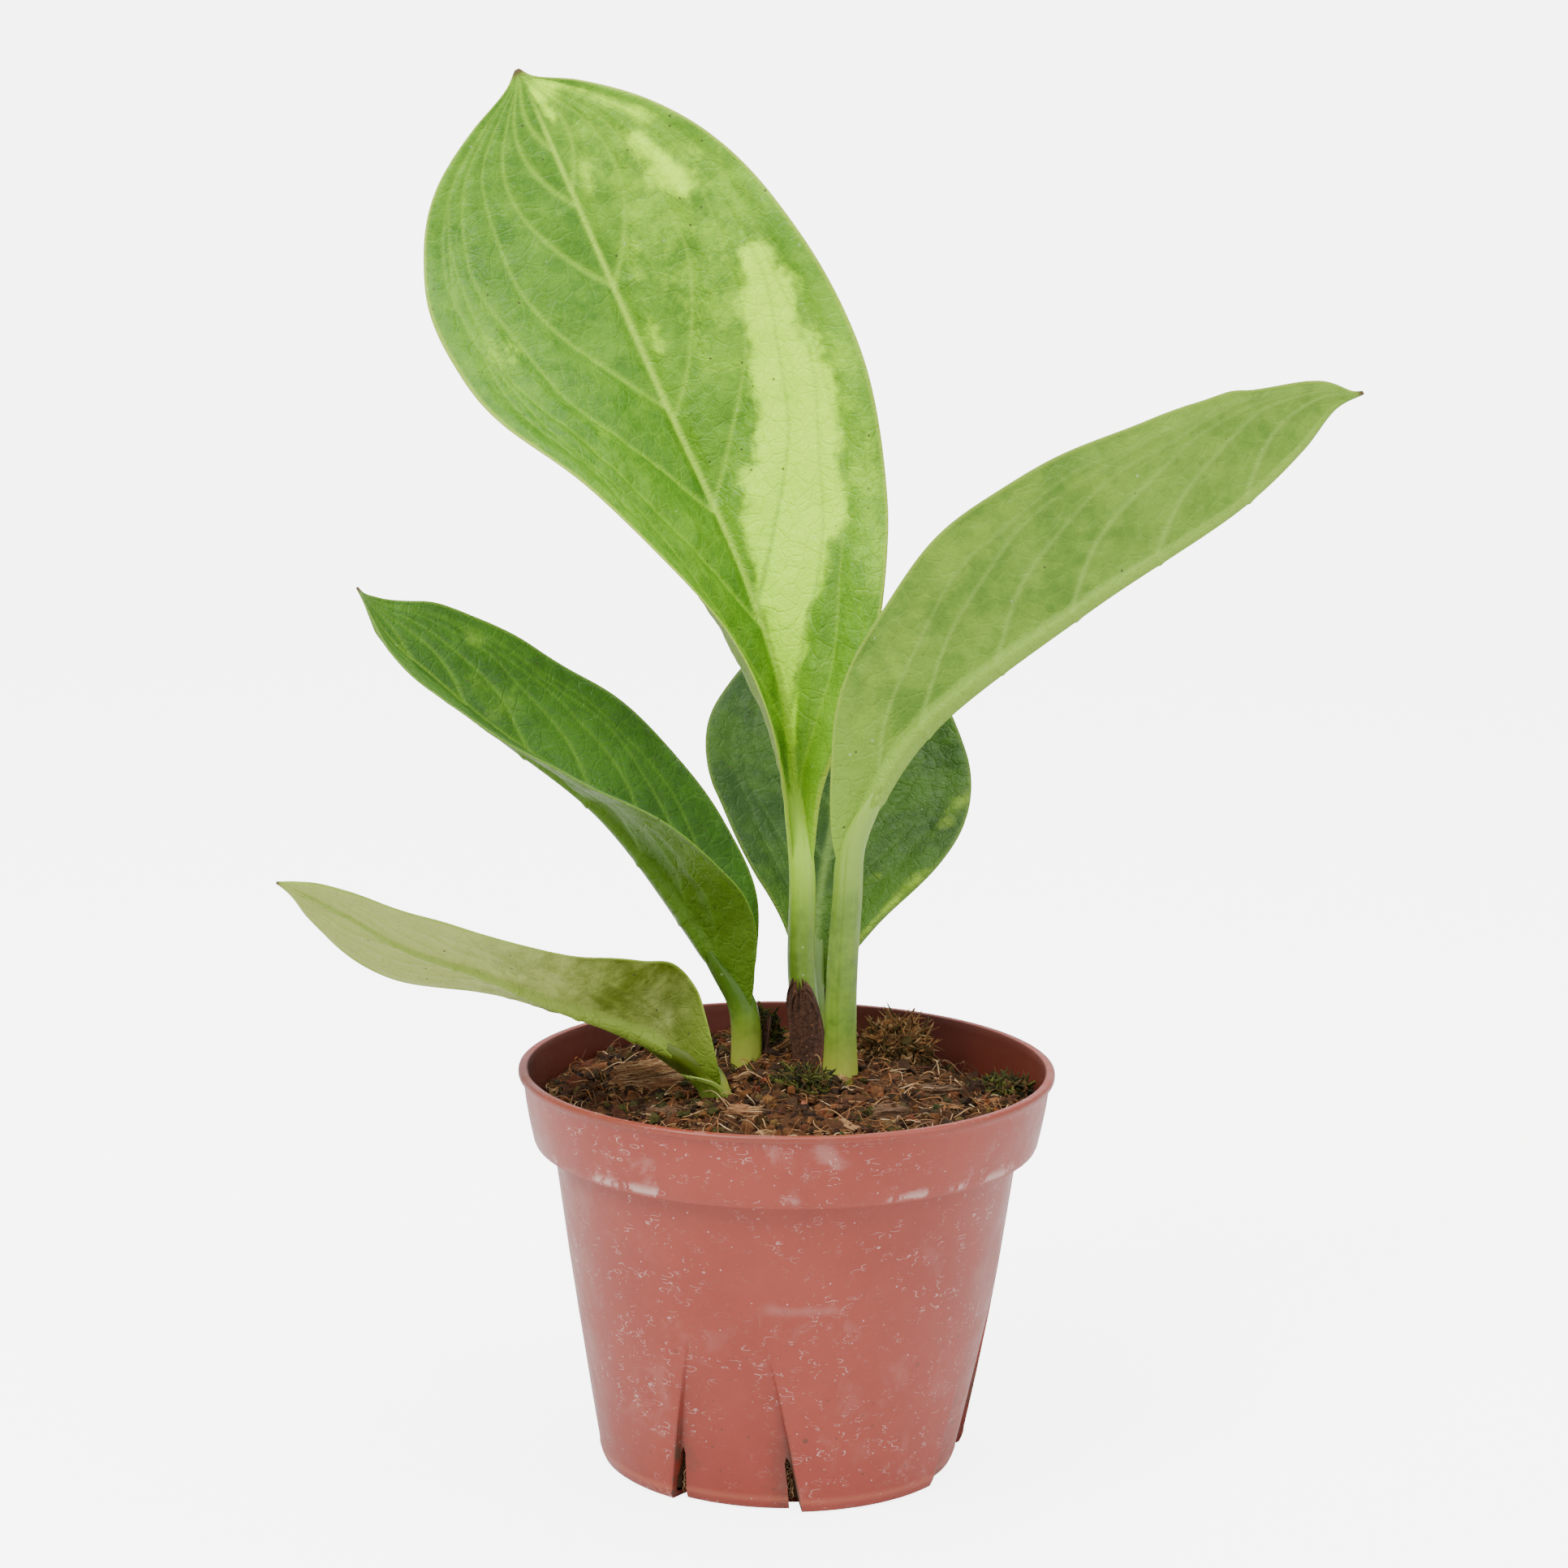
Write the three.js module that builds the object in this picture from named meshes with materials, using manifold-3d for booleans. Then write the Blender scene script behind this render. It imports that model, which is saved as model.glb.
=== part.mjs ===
// A young anthurium in a round nursery pot: five simple leaves on stout petioles, a short
// rootstock, papery cataphylls and a loose coir and moss potting mix.
// Sizes are in millimetres. +Z is up, the pot stands on Z = 0 with its axis on the Z axis,
// and the plant's display side faces -Y.
import * as THREE from 'three';
import { mergeVertices } from 'three/addons/utils/BufferGeometryUtils.js';
import Module from 'manifold-3d';

const wasm = await Module();
wasm.setup();

// ---------------------------------------------------------------- driving dimensions

// Gap left between every two pieces that would touch.
const clearance = 0.3;

const potHeight = 90;
const potRimDiameter = 120;
const potBaseDiameter = 82;
const potWall = 1.1;
const potFloor = 1.3;
// The body stops under a wider stacking band that carries the lip.
const bandHeight = 16.7;
const bandStep = 4.2;
// The band leans out by this much from its foot to the lip.
const bandLean = 2.6;
const lipHeight = 1.6;
const lipOverhang = 1.0;
const edgeRound = 0.4;
const baseChamfer = 0.6;
// The floor is flat from the axis to this far inside the base's edge.
const floorMargin = 8;
// Four tapered panels are pressed into the lower wall; each side of a panel has a drain slot.
const panelCount = 4;
const panelCentreAngle = -15;
const panelWidthAngle = 41;
const panelTopAngle = 20;
const panelHeight = 42;
const panelDepth = 2.2;
// The side step of a panel takes this many degrees.
const panelStepAngle = 1.2;
const slotHeight = 13;
// A slot widens downwards: shares of the slot width at its foot and at its top.
const slotWidth = 2;
const slotFootShare = 1.25;
const slotTopShare = 0.55;
// Degrees by which a slot runs on past the panel's side.
const slotOverrun = 0.3;

// The mix stands this far under the lip at the centre, and sinks further towards the wall.
const soilDrop = 2.5;
const soilEdgeDrop = 3;
const soilLeftDip = 4;
const soilRearDip = 9;
const soilRearDipAngle = 42;
const soilLeftDipAngle = 175;
// The mix always stands at least this far above the shelf inside the step.
const soilOverShelf = 2;
const clodHeight = 0.5;
const fineClodHeight = 0.35;

// Petioles start this far down in the mix, on the rootstock.
const rootDepth = 3.5;
const rootstockRadius = 25;
const rootstockThickness = 11;
const rootRadius = 1.7;
// Roots leave the rootstock at this distance from its middle.
const rootStart = 6;
const rootTaper = 0.55;
// Each root's compass angle, how far it reaches outwards, and how far it drops.
const roots = [
  { angle: -60, reach: 16, drop: 42 },
  { angle: 20, reach: 18, drop: 50 },
  { angle: 110, reach: 15, drop: 38 },
  { angle: 200, reach: 17, drop: 46 },
];

// Petioles are this much wider at the foot, and lose this share on the way to the blade.
const petioleFootShare = 1.06;
const petioleTaper = 0.12;
// The midrib under a blade: its depth as a share of the petiole, its half width as a share.
const ribDepthShare = 0.3;
const ribWidthShare = 0.15;
const marginThinning = 0.3;

// ---------------------------------------------------------------- the five leaves
// `root` is the petiole's centre on the rootstock, `path` the way its midrib runs from there
// (offsets, rescaled to `length`), and `bladeStart` the share of the path that is petiole.
// Widths, folds and curls are given at the stations below, from blade base to tip.
// A fold lifts a half of the blade towards its upper face, in degrees, and a curl bends it on.

const stations = [0, 0.12, 0.25, 0.4, 0.55, 0.7, 0.82, 0.91, 0.96, 0.985, 1];
const flat = stations.map(() => 0);

// Half widths, as shares of the leaf's own, that both halves of a blade have in common.
const rightLeafWidths = [0.16, 0.42, 0.74, 1, 1, 0.9, 0.74, 0.51, 0.21, 0.05, 0.015];
const leftLeafWidths = [0.24, 0.67, 0.9, 1, 1, 0.92, 0.7, 0.43, 0.18, 0.05, 0.015];


const leaves = [
  {
    name: 'tall_leaf',
    length: 240,
    halfWidth: 46,
    petioleDiameter: 6.4,
    thickness: 0.9,
    root: [6, 13],
    path: [
      [0, 0, 0], [-3, 1, 27], [-3, 3, 46], [-5, 5, 64], [-8, 8, 86],
      [-17, 14, 112], [-36, 23, 152], [-57, 28, 198], [-66, 29, 218], [-69, 29, 224],
    ],
    bladeStart: 0.19,
    facing: [[0.15, -1, 0], [0.1, -1, 0.15], [0.1, -1, 0.25], [0, -1, 0.25], [0, -1, 0.15]],
    left: {
      width: [0.07, 0.22, 0.59, 0.87, 1, 0.94, 0.84, 0.61, 0.31, 0.09, 0.012],
      fold: [30, 41, 43, 46, 38, 18, 4, 0, 0, 0, 0],
      curl: [60, 60, 60, 30, 20, 10, 5, 5, 0, 0, 0],
    },
    right: {
      width: [0.07, 0.22, 0.58, 0.87, 1, 0.96, 0.8, 0.52, 0.25, 0.06, 0.012],
      fold: [50, 38, 25, 18, 15, 13, 11, 9, 8, 8, 8],
      curl: [20, 15, 10, 10, 10, 10, 8, 5, 5, 5, 5],
    },
    colour: 0x7db25a,
  },
  {
    name: 'right_leaf',
    length: 208,
    halfWidth: 31,
    petioleDiameter: 7,
    thickness: 0.9,
    root: [12, 0],
    path: [
      [0, 0, 0], [0, 0, 23], [1, 0, 44], [2, 0, 57], [9, 0, 72], [19, -1, 85],
      [52, -4, 111], [85, -6, 134], [97, -7, 146], [104, -7, 155], [110, -7, 158],
    ],
    bladeStart: 0.25,
    facing: [
      [-1, 0.25, 0.5], [-0.7, 0.25, 0.7], [-0.5, 0.25, 0.84], [-0.5, 0.25, 0.84], [-0.5, 0.2, 0.84],
    ],
    left: {
      width: rightLeafWidths,
      fold: [65, 72, 75, 75, 75, 74, 74, 74, 70, 60, 50],
      curl: flat,
    },
    right: {
      width: rightLeafWidths,
      fold: [65, 72, 75, 75, 75, 75, 75, 74, 68, 60, 50],
      curl: flat,
    },
    colour: 0x94b66a,
  },
  {
    name: 'left_leaf',
    length: 148,
    halfWidth: 25.5,
    petioleDiameter: 7,
    thickness: 0.9,
    root: [-9, 12],
    path: [
      [0, 0, 0], [-1, 0, 16], [-5, 0, 24], [-12, -1, 35], [-32, -4, 61],
      [-58, -9, 82], [-70, -12, 93], [-79, -15, 102], [-85, -18, 113],
    ],
    bladeStart: 0.12,
    facing: [
      [1, -0.1, 0.3], [0.66, -0.1, 0.75], [0.66, -0.1, 0.75], [0.66, -0.1, 0.75], [0.66, -0.2, 0.75],
    ],
    left: {
      width: leftLeafWidths,
      fold: [65, 60, 44, 30, 19, 13, 10, 10, 8, 5, 0],
      curl: flat,
    },
    right: {
      width: leftLeafWidths,
      fold: [55, 54, 45, 40, 40, 40, 38, 34, 20, 8, 0],
      curl: flat,
    },
    colour: 0x4f8f3a,
  },
  {
    name: 'low_leaf',
    length: 113,
    halfWidth: 19,
    petioleDiameter: 5.6,
    thickness: 0.8,
    root: [-14, -15],
    path: [
      [0, 0, 0], [-3, -1, 8], [-12, -2, 14], [-24, -4, 20], [-37, -6, 25],
      [-52, -9, 32], [-68, -12, 38], [-83, -14, 47], [-93, -15, 52], [-96, -15, 53],
    ],
    bladeStart: 0.08,
    facing: [[0.4, 0.5, 0.8], [0.3, 0.7, 0.7], [0.3, 0.8, 0.6], [0.2, 0.9, 0.4], [0.2, 0.9, 0.4]],
    left: {
      width: [0.3, 0.84, 1, 0.95, 0.84, 0.74, 0.53, 0.32, 0.13, 0.05, 0.015],
      fold: [20, 60, 20, 5, -8, -14, -17, -16, -5, 0, 0],
      curl: flat,
    },
    right: {
      width: [0.3, 0.84, 1, 0.95, 0.84, 0.74, 0.55, 0.34, 0.13, 0.05, 0.015],
      fold: [0, 18, 26, 23, 19, 15, 8, 12, 10, 0, 0],
      curl: flat,
    },
    colour: 0xa2b877,
  },
  {
    name: 'rear_leaf',
    length: 129,
    halfWidth: 33,
    petioleDiameter: 5.2,
    thickness: 0.8,
    root: [7, 20],
    path: [
      [0, 0, 0], [-1, 2, 21], [0, 12, 37], [3, 28, 51], [5, 42, 65],
      [7, 56, 79], [8, 68, 91], [8, 76, 98],
    ],
    bladeStart: 0.14,
    facing: [[0.1, -0.9, 0.3], [0.05, -0.7, 0.7], [0.05, -0.7, 0.7], [0, -0.7, 0.7], [0, -0.7, 0.7]],
    left: {
      width: [0.08, 0.27, 0.64, 0.91, 1, 0.88, 0.67, 0.42, 0.24, 0.09, 0.012],
      fold: [40, 30, 20, 15, 12, 11, 10, 9, 8, 8, 8],
      curl: [0, 2, 4, 5, 5, 5, 4, 3, 2, 1, 0],
    },
    right: {
      width: [0.08, 0.45, 0.82, 0.97, 0.94, 0.73, 0.48, 0.27, 0.12, 0.04, 0.012],
      fold: [40, 30, 20, 15, 12, 11, 10, 9, 8, 8, 8],
      curl: [0, 2, 4, 5, 5, 5, 4, 3, 2, 1, 0],
    },
    colour: 0x4d7f3e,
  },
];

// Thin sheaths that stay round the petiole bases. `faces` is the compass angle of the sheath's
// middle (-90 is the display side), `span` how far it wraps, both in degrees.
const sheaths = [
  {
    name: 'front_cataphyll', leaf: 'tall_leaf', faces: -100, span: 170,
    height: 21, flare: 0.9, thickness: 0.6, colour: 0x6b4328,
  },
  {
    name: 'rear_cataphyll', leaf: 'rear_leaf', faces: 70, span: 150,
    height: 24, flare: 1.2, thickness: 0.6, colour: 0x7a4e2c,
  },
  {
    name: 'side_cataphyll', leaf: 'left_leaf', faces: 15, span: 90,
    height: 12, flare: 1.4, thickness: 0.6, colour: 0xa8622c,
  },
  {
    name: 'green_bract', leaf: 'low_leaf', faces: -125, span: 150,
    height: 8.5, flare: 3.2, thickness: 0.7, colour: 0x8fae55,
  },
];
const sheathDepth = 2.5;
// Extra room between a sheath and its petiole, and how a sheath narrows and thins upwards.
const sheathSlack = 0.25;
const sheathNarrowing = 0.96;
const sheathNarrowingPower = 1.6;
const sheathThinning = 0.4;

// Loose pieces lying in the mix. Centres, radii and how far each is sunk are shares of the
// pot's rim radius, so the pieces keep their places in a wider or narrower pot.
const moss = 0x4b5324;
const driedMoss = 0x8a6a36;
const husk = 0x9a7043;
const bark = 0x5b3a24;
const litter = [
  { name: 'husk_chip', at: [-0.517, -0.017], size: [0.15, 0.117, 0.057], sink: 0.01, seed: 1, colour: husk },
  { name: 'husk_bit', at: [-0.158, -0.533], size: [0.083, 0.043, 0.033], sink: 0.007, seed: 2, colour: husk },
  {
    name: 'centre_moss', at: [0.067, -0.183], size: [0.133, 0.092, 0.053],
    sink: 0.013, seed: 3, colour: moss,
  },
  { name: 'rear_moss', at: [-0.1, 0.533], size: [0.073, 0.073, 0.117], sink: 0, seed: 4, colour: moss },
  {
    name: 'dried_moss', at: [0.417, 0.467], size: [0.133, 0.1, 0.125],
    sink: 0, seed: 5, colour: driedMoss,
  },
  { name: 'rim_moss', at: [0.8, 0.083], size: [0.103, 0.083, 0.057], sink: 0.005, seed: 6, colour: moss },
  { name: 'bark_chip_1', at: [0.367, -0.467], size: [0.077, 0.05, 0.028], sink: 0.005, seed: 7, colour: bark },
  { name: 'bark_chip_2', at: [-0.45, -0.433], size: [0.07, 0.053, 0.03], sink: 0.005, seed: 8, colour: bark },
  { name: 'bark_chip_3', at: [0.567, -0.15], size: [0.08, 0.047, 0.028], sink: 0.005, seed: 9, colour: bark },
];
// A lump's centre stands this share of its height above the mix.
const lumpRise = 0.35;

// ---------------------------------------------------------------- mesh fineness

const wallSegments = 17;
const panelSegments = 5;
const soilColumns = 44;
const bladeRows = 16;
const bladeColumns = [-1, -0.8, -0.55, -0.3, -0.09, 0, 0.09, 0.3, 0.55, 0.8, 1];
const petioleSides = 10;
const petioleRowsPerShare = 36;
const sheathRows = 4;
const sheathParts = 6;
const rootRows = 3;
const rootSides = 5;
// Share of a leaf's length over which its direction is measured.
const directionReach = 0.012;
// A half that curls less than this, in radians, counts as curling by this much.
const leastCurl = 0.009;

// ---------------------------------------------------------------- sizes that follow

const rad = THREE.MathUtils.degToRad;
const rimRadius = potRimDiameter / 2;
const baseRadius = potBaseDiameter / 2;
const bandBottom = potHeight - bandHeight;
const bandRadius = rimRadius - lipOverhang;
const bandFootRadius = bandRadius - bandLean;
const shoulderRadius = bandFootRadius - bandStep;
const soilTop = potHeight - soilDrop;
const rootLevel = soilTop - rootDepth;
// The shelf inside the step under the band.
const shelfTop = bandBottom + potWall;

// ---------------------------------------------------------------- general shape helpers

function toGeometry(points, triangles) {
  const geometry = new THREE.BufferGeometry();
  geometry.setAttribute('position', new THREE.Float32BufferAttribute(points, 3));
  geometry.setIndex(triangles);
  return geometry;
}

function volumeOf(geometry) {
  const p = geometry.attributes.position;
  const index = geometry.index;
  const a = new THREE.Vector3();
  const b = new THREE.Vector3();
  const c = new THREE.Vector3();
  let total = 0;
  for (let i = 0; i < index.count; i += 3) {
    a.fromBufferAttribute(p, index.getX(i));
    b.fromBufferAttribute(p, index.getX(i + 1));
    c.fromBufferAttribute(p, index.getX(i + 2));
    total += a.dot(b.cross(c)) / 6;
  }
  return total;
}

// Turns a closed shape's faces outwards.
function facingOut(geometry) {
  if (volumeOf(geometry) < 0) {
    const index = geometry.index;
    for (let i = 0; i < index.count; i += 3) {
      const second = index.getX(i + 1);
      index.setX(i + 1, index.getX(i + 2));
      index.setX(i + 2, second);
    }
  }
  return geometry;
}

// Joins closed loops of equal length into one solid. Point k of a loop lies across from point
// (length - 1 - k), and the two ends are closed with strips between such pairs.
function skin(loops) {
  const size = loops[0].length;
  const half = size / 2;
  const points = [];
  const triangles = [];
  for (const loop of loops) {
    for (const p of loop) points.push(p.x, p.y, p.z);
  }
  for (let row = 0; row + 1 < loops.length; row += 1) {
    for (let k = 0; k < size; k += 1) {
      const a = row * size + k;
      const b = row * size + ((k + 1) % size);
      triangles.push(a, b, b + size, a, b + size, a + size);
    }
  }
  const last = (loops.length - 1) * size;
  for (let k = 0; k + 1 < half; k += 1) {
    const across = size - 1 - k;
    triangles.push(k, across, across - 1, k, across - 1, k + 1);
    triangles.push(last + k, last + across - 1, last + across, last + k, last + k + 1, last + across - 1);
  }
  return facingOut(toGeometry(points, triangles));
}

// A solid of revolution with a free radius: rows run from the lower pole to the upper pole.
function revolve(rows, columns, pointAt, lowPole, highPole) {
  const points = [0, 0, lowPole];
  const triangles = [];
  for (let row = 0; row < rows; row += 1) {
    for (let column = 0; column < columns; column += 1) {
      const p = pointAt(row, column);
      points.push(p.x, p.y, p.z);
    }
  }
  points.push(0, 0, highPole);
  const top = 1 + rows * columns;
  const at = (row, column) => 1 + row * columns + (column % columns);
  for (let column = 0; column < columns; column += 1) {
    triangles.push(0, at(0, column + 1), at(0, column));
    triangles.push(top, at(rows - 1, column), at(rows - 1, column + 1));
    for (let row = 0; row + 1 < rows; row += 1) {
      triangles.push(at(row, column), at(row, column + 1), at(row + 1, column + 1));
      triangles.push(at(row, column), at(row + 1, column + 1), at(row + 1, column));
    }
  }
  return facingOut(toGeometry(points, triangles));
}

function toSolid(geometry) {
  const bare = geometry.clone();
  bare.deleteAttribute('normal');
  bare.deleteAttribute('uv');
  const merged = mergeVertices(bare);
  return new wasm.Manifold(new wasm.Mesh({
    numProp: 3,
    vertProperties: new Float32Array(merged.attributes.position.array),
    triVerts: new Uint32Array(merged.index.array),
  }));
}

function fromSolid(solid) {
  const mesh = solid.getMesh();
  return toGeometry(Array.from(mesh.vertProperties), Array.from(mesh.triVerts));
}

// A smooth value between stations, with slopes averaged from the neighbouring spans.
function between(places, values, t) {
  const spans = places.length - 1;
  const slope = (i) => (values[i + 1] - values[i]) / (places[i + 1] - places[i]);
  const tangent = (i) => {
    if (i === 0) return slope(0);
    if (i === spans) return slope(spans - 1);
    return (slope(i - 1) + slope(i)) / 2;
  };
  let i = 0;
  while (i < spans - 1 && t >= places[i + 1]) i += 1;
  const h = places[i + 1] - places[i];
  const s = Math.min(Math.max((t - places[i]) / h, 0), 1);
  const s2 = s * s;
  const s3 = s2 * s;
  return (2 * s3 - 3 * s2 + 1) * values[i] + (s3 - 2 * s2 + s) * h * tangent(i)
    + (3 * s2 - 2 * s3) * values[i + 1] + (s3 - s2) * h * tangent(i + 1);
}

// ---------------------------------------------------------------- the pot

// Outer radius of the plain body below the band.
function bodyRadius(z) {
  const share = Math.min(Math.max(z / bandBottom, 0), 1);
  return baseRadius + (shoulderRadius - baseRadius) * (1.12 * share - 0.12 * share * share);
}

// How far a panel is pressed in at a height.
function pressedIn(z) {
  return panelDepth * Math.min(Math.max(1 - z / panelHeight, 0), 1);
}

// Half of a panel's angle at a height; it narrows upwards.
function panelHalfAngle(z) {
  const share = Math.min(Math.max(z / panelHeight, 0), 1);
  return (panelWidthAngle + (panelTopAngle - panelWidthAngle) * share) / 2;
}

// One quarter of the columns: across a panel, over its side step, then round the plain wall.
function quarterColumns(z) {
  const edge = panelHalfAngle(z);
  const pitch = 360 / panelCount;
  const inside = panelSegments;
  const outside = wallSegments - inside - 2;
  const list = [];
  for (let i = 0; i <= inside; i += 1) {
    list.push({ angle: -edge + (2 * edge * i) / inside, pressed: true });
  }
  const first = edge + panelStepAngle;
  const last = pitch - edge - panelStepAngle;
  for (let i = 0; i <= outside; i += 1) {
    list.push({ angle: first + ((last - first) * i) / outside, pressed: false });
  }
  return list;
}

function potPoint(radius, z, column, followsPanels) {
  const quarter = quarterColumns(z);
  const place = quarter[column % quarter.length];
  const turn = Math.floor(column / quarter.length);
  const angle = rad(-90 + panelCentreAngle + place.angle + (turn * 360) / panelCount);
  const r = radius - (followsPanels && place.pressed ? pressedIn(z) : 0);
  return new THREE.Vector3(r * Math.cos(angle), r * Math.sin(angle), z);
}

// Inner radius of the band at a height.
function bandInnerRadius(z) {
  const share = (z - bandBottom) / bandHeight;
  return bandFootRadius - potWall + (bandRadius - bandFootRadius) * share;
}

function makePot() {
  const outerHeights = [baseChamfer, panelHeight / 2, panelHeight, bandBottom - edgeRound];
  const innerHeights = [panelHeight, panelHeight / 2, potFloor];
  const rows = [[baseRadius - floorMargin, 0, true], [baseRadius - baseChamfer, 0, true]];
  for (const z of outerHeights) rows.push([bodyRadius(z), z, true]);
  const lipBottom = potHeight - lipHeight;
  const innerTop = bandRadius - potWall;
  rows.push(
    [bandFootRadius - edgeRound, bandBottom - edgeRound / 2, false],
    [bandFootRadius, bandBottom, false],
    [bandFootRadius + bandLean * 0.55, bandBottom + bandHeight * 0.55, false],
    [bandRadius - edgeRound, lipBottom - edgeRound, false],
    [rimRadius, lipBottom, false],
    [rimRadius, potHeight - edgeRound, false],
    [rimRadius - edgeRound, potHeight, false],
    [innerTop + edgeRound, potHeight, false],
    [innerTop, potHeight - edgeRound, false],
    [bandInnerRadius(shelfTop), shelfTop, false],
    [shoulderRadius - potWall, shelfTop - edgeRound / 2, false],
  );
  for (const z of innerHeights) rows.push([bodyRadius(z) - potWall, z, true]);
  rows.push([baseRadius - floorMargin, potFloor, true]);
  const columns = wallSegments * panelCount;
  const shell = revolve(
    rows.length,
    columns,
    (row, column) => potPoint(rows[row][0], rows[row][1], column, rows[row][2]),
    0,
    potFloor,
  );
  let pot = toSolid(shell);
  for (let panel = 0; panel < panelCount; panel += 1) {
    for (const side of [-1, 1]) {
      pot = pot.subtract(drainSlot(panel, side));
    }
  }
  return fromSolid(pot);
}

// A drain slot just inside one side of a panel, leaning with that side.
function drainSlot(panel, side) {
  const reachIn = potWall + panelDepth + 6;
  const reachOut = 4;
  const under = -1;
  const loops = [];
  for (const z of [under, slotHeight]) {
    const radius = bodyRadius(z);
    const share = z === under ? slotFootShare : slotTopShare;
    const span = THREE.MathUtils.radToDeg((slotWidth * share) / radius) * side;
    const outerEdge = panelHalfAngle(z) * side + slotOverrun * side;
    const innerEdge = panelHalfAngle(z) * side - span;
    const corners = [
      [outerEdge, reachOut],
      [innerEdge, reachOut],
      [innerEdge, -reachIn],
      [outerEdge, -reachIn],
    ];
    const loop = corners.map(([angle, out]) => {
      const a = rad(-90 + panelCentreAngle + (panel * 360) / panelCount + angle);
      return new THREE.Vector3((radius + out) * Math.cos(a), (radius + out) * Math.sin(a), z);
    });
    loops.push(loop);
  }
  return toSolid(skin(loops));
}

// ---------------------------------------------------------------- the potting mix

// Height of the mix: level at the middle, lower towards the wall, the left and the rear right.
function soilHeight(x, y) {
  const reach = Math.min(Math.hypot(x, y) / rimRadius, 1);
  const lobe = (angle) => Math.max((x * Math.cos(rad(angle)) + y * Math.sin(rad(angle))) / rimRadius, 0);
  const left = soilLeftDip * lobe(soilLeftDipAngle) ** 1.5;
  const rear = soilRearDip * lobe(soilRearDipAngle) ** 2;
  const clods = clodHeight * Math.sin(x * 0.45 + 1) * Math.cos(y * 0.4)
    + fineClodHeight * Math.sin(x * 0.21 - y * 0.83);
  return soilTop - soilEdgeDrop * reach * reach - left - rear + clods;
}

function makeSoilBlock() {
  const columns = soilColumns;
  const wallHeights = [potFloor + clearance, panelHeight, bandBottom - 1, shelfTop + clearance];
  const topShares = [0.94, 0.8, 0.62, 0.42, 0.2];
  const rows = 1 + wallHeights.length + 2 + topShares.length;
  const pointAt = (row, column) => {
    const angle = (column / columns) * Math.PI * 2;
    const place = (r, z) => new THREE.Vector3(r * Math.cos(angle), r * Math.sin(angle), z);
    if (row === 0) return place(baseRadius * 0.6, wallHeights[0]);
    if (row <= wallHeights.length) {
      const z = wallHeights[row - 1];
      return place(bodyRadius(z) - pressedIn(z) - potWall - clearance, z);
    }
    const above = row - wallHeights.length - 1;
    const edgeX = bandFootRadius * Math.cos(angle);
    const edgeY = bandFootRadius * Math.sin(angle);
    const edgeHeight = Math.max(soilHeight(edgeX, edgeY), shelfTop + soilOverShelf);
    if (above === 0) return place(bandInnerRadius(shelfTop) - clearance, shelfTop + clearance);
    const edgeRadius = bandInnerRadius(edgeHeight) - clearance;
    if (above === 1) return place(edgeRadius, edgeHeight);
    const r = edgeRadius * topShares[above - 2];
    const z = soilHeight(r * Math.cos(angle), r * Math.sin(angle));
    return place(r, Math.max(z, shelfTop + soilOverShelf));
  };
  return revolve(rows, columns, pointAt, wallHeights[0], soilHeight(0, 0));
}

// ---------------------------------------------------------------- leaves

// Everything needed to place a point on a leaf: its midrib curve, and the frame along it.
function leafFrame(leaf) {
  const root = new THREE.Vector3(leaf.root[0], leaf.root[1], rootLevel);
  const knots = leaf.path.map((p) => new THREE.Vector3(...p));
  const raw = new THREE.CatmullRomCurve3(knots, false, 'centripetal');
  raw.arcLengthDivisions = 600;
  const scale = leaf.length / raw.getLength();
  const pointAt = (share) => raw.getPointAt(share).multiplyScalar(scale).add(root);
  const facingPlaces = leaf.facing.map((_, i) => i / (leaf.facing.length - 1));
  const at = (t) => {
    const share = leaf.bladeStart + (1 - leaf.bladeStart) * t;
    const ahead = pointAt(Math.min(share + directionReach, 1));
    const along = ahead.sub(pointAt(Math.max(share - directionReach, 0))).normalize();
    const up = new THREE.Vector3(
      between(facingPlaces, leaf.facing.map((f) => f[0]), t),
      between(facingPlaces, leaf.facing.map((f) => f[1]), t),
      between(facingPlaces, leaf.facing.map((f) => f[2]), t),
    );
    up.addScaledVector(along, -up.dot(along)).normalize();
    return { centre: pointAt(share), along, up, across: new THREE.Vector3().crossVectors(along, up) };
  };
  return { pointAt, at };
}

// A point on the blade's upper face; u runs from -1 at the left margin to 1 at the right.
function bladePoint(leaf, frame, t, u) {
  const side = u < 0 ? leaf.left : leaf.right;
  const width = leaf.halfWidth * between(stations, side.width, t);
  const fold = rad(between(stations, side.fold, t));
  const bend = rad(between(stations, side.curl, t));
  const curl = Math.abs(bend) < leastCurl ? leastCurl : bend;
  const a = Math.abs(u);
  const out = (width * (Math.sin(fold + curl * a) - Math.sin(fold))) / curl;
  const lift = (-width * (Math.cos(fold + curl * a) - Math.cos(fold))) / curl;
  const { centre, up, across } = frame.at(t);
  return centre.addScaledVector(across, Math.sign(u) * out).addScaledVector(up, lift);
}

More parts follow.
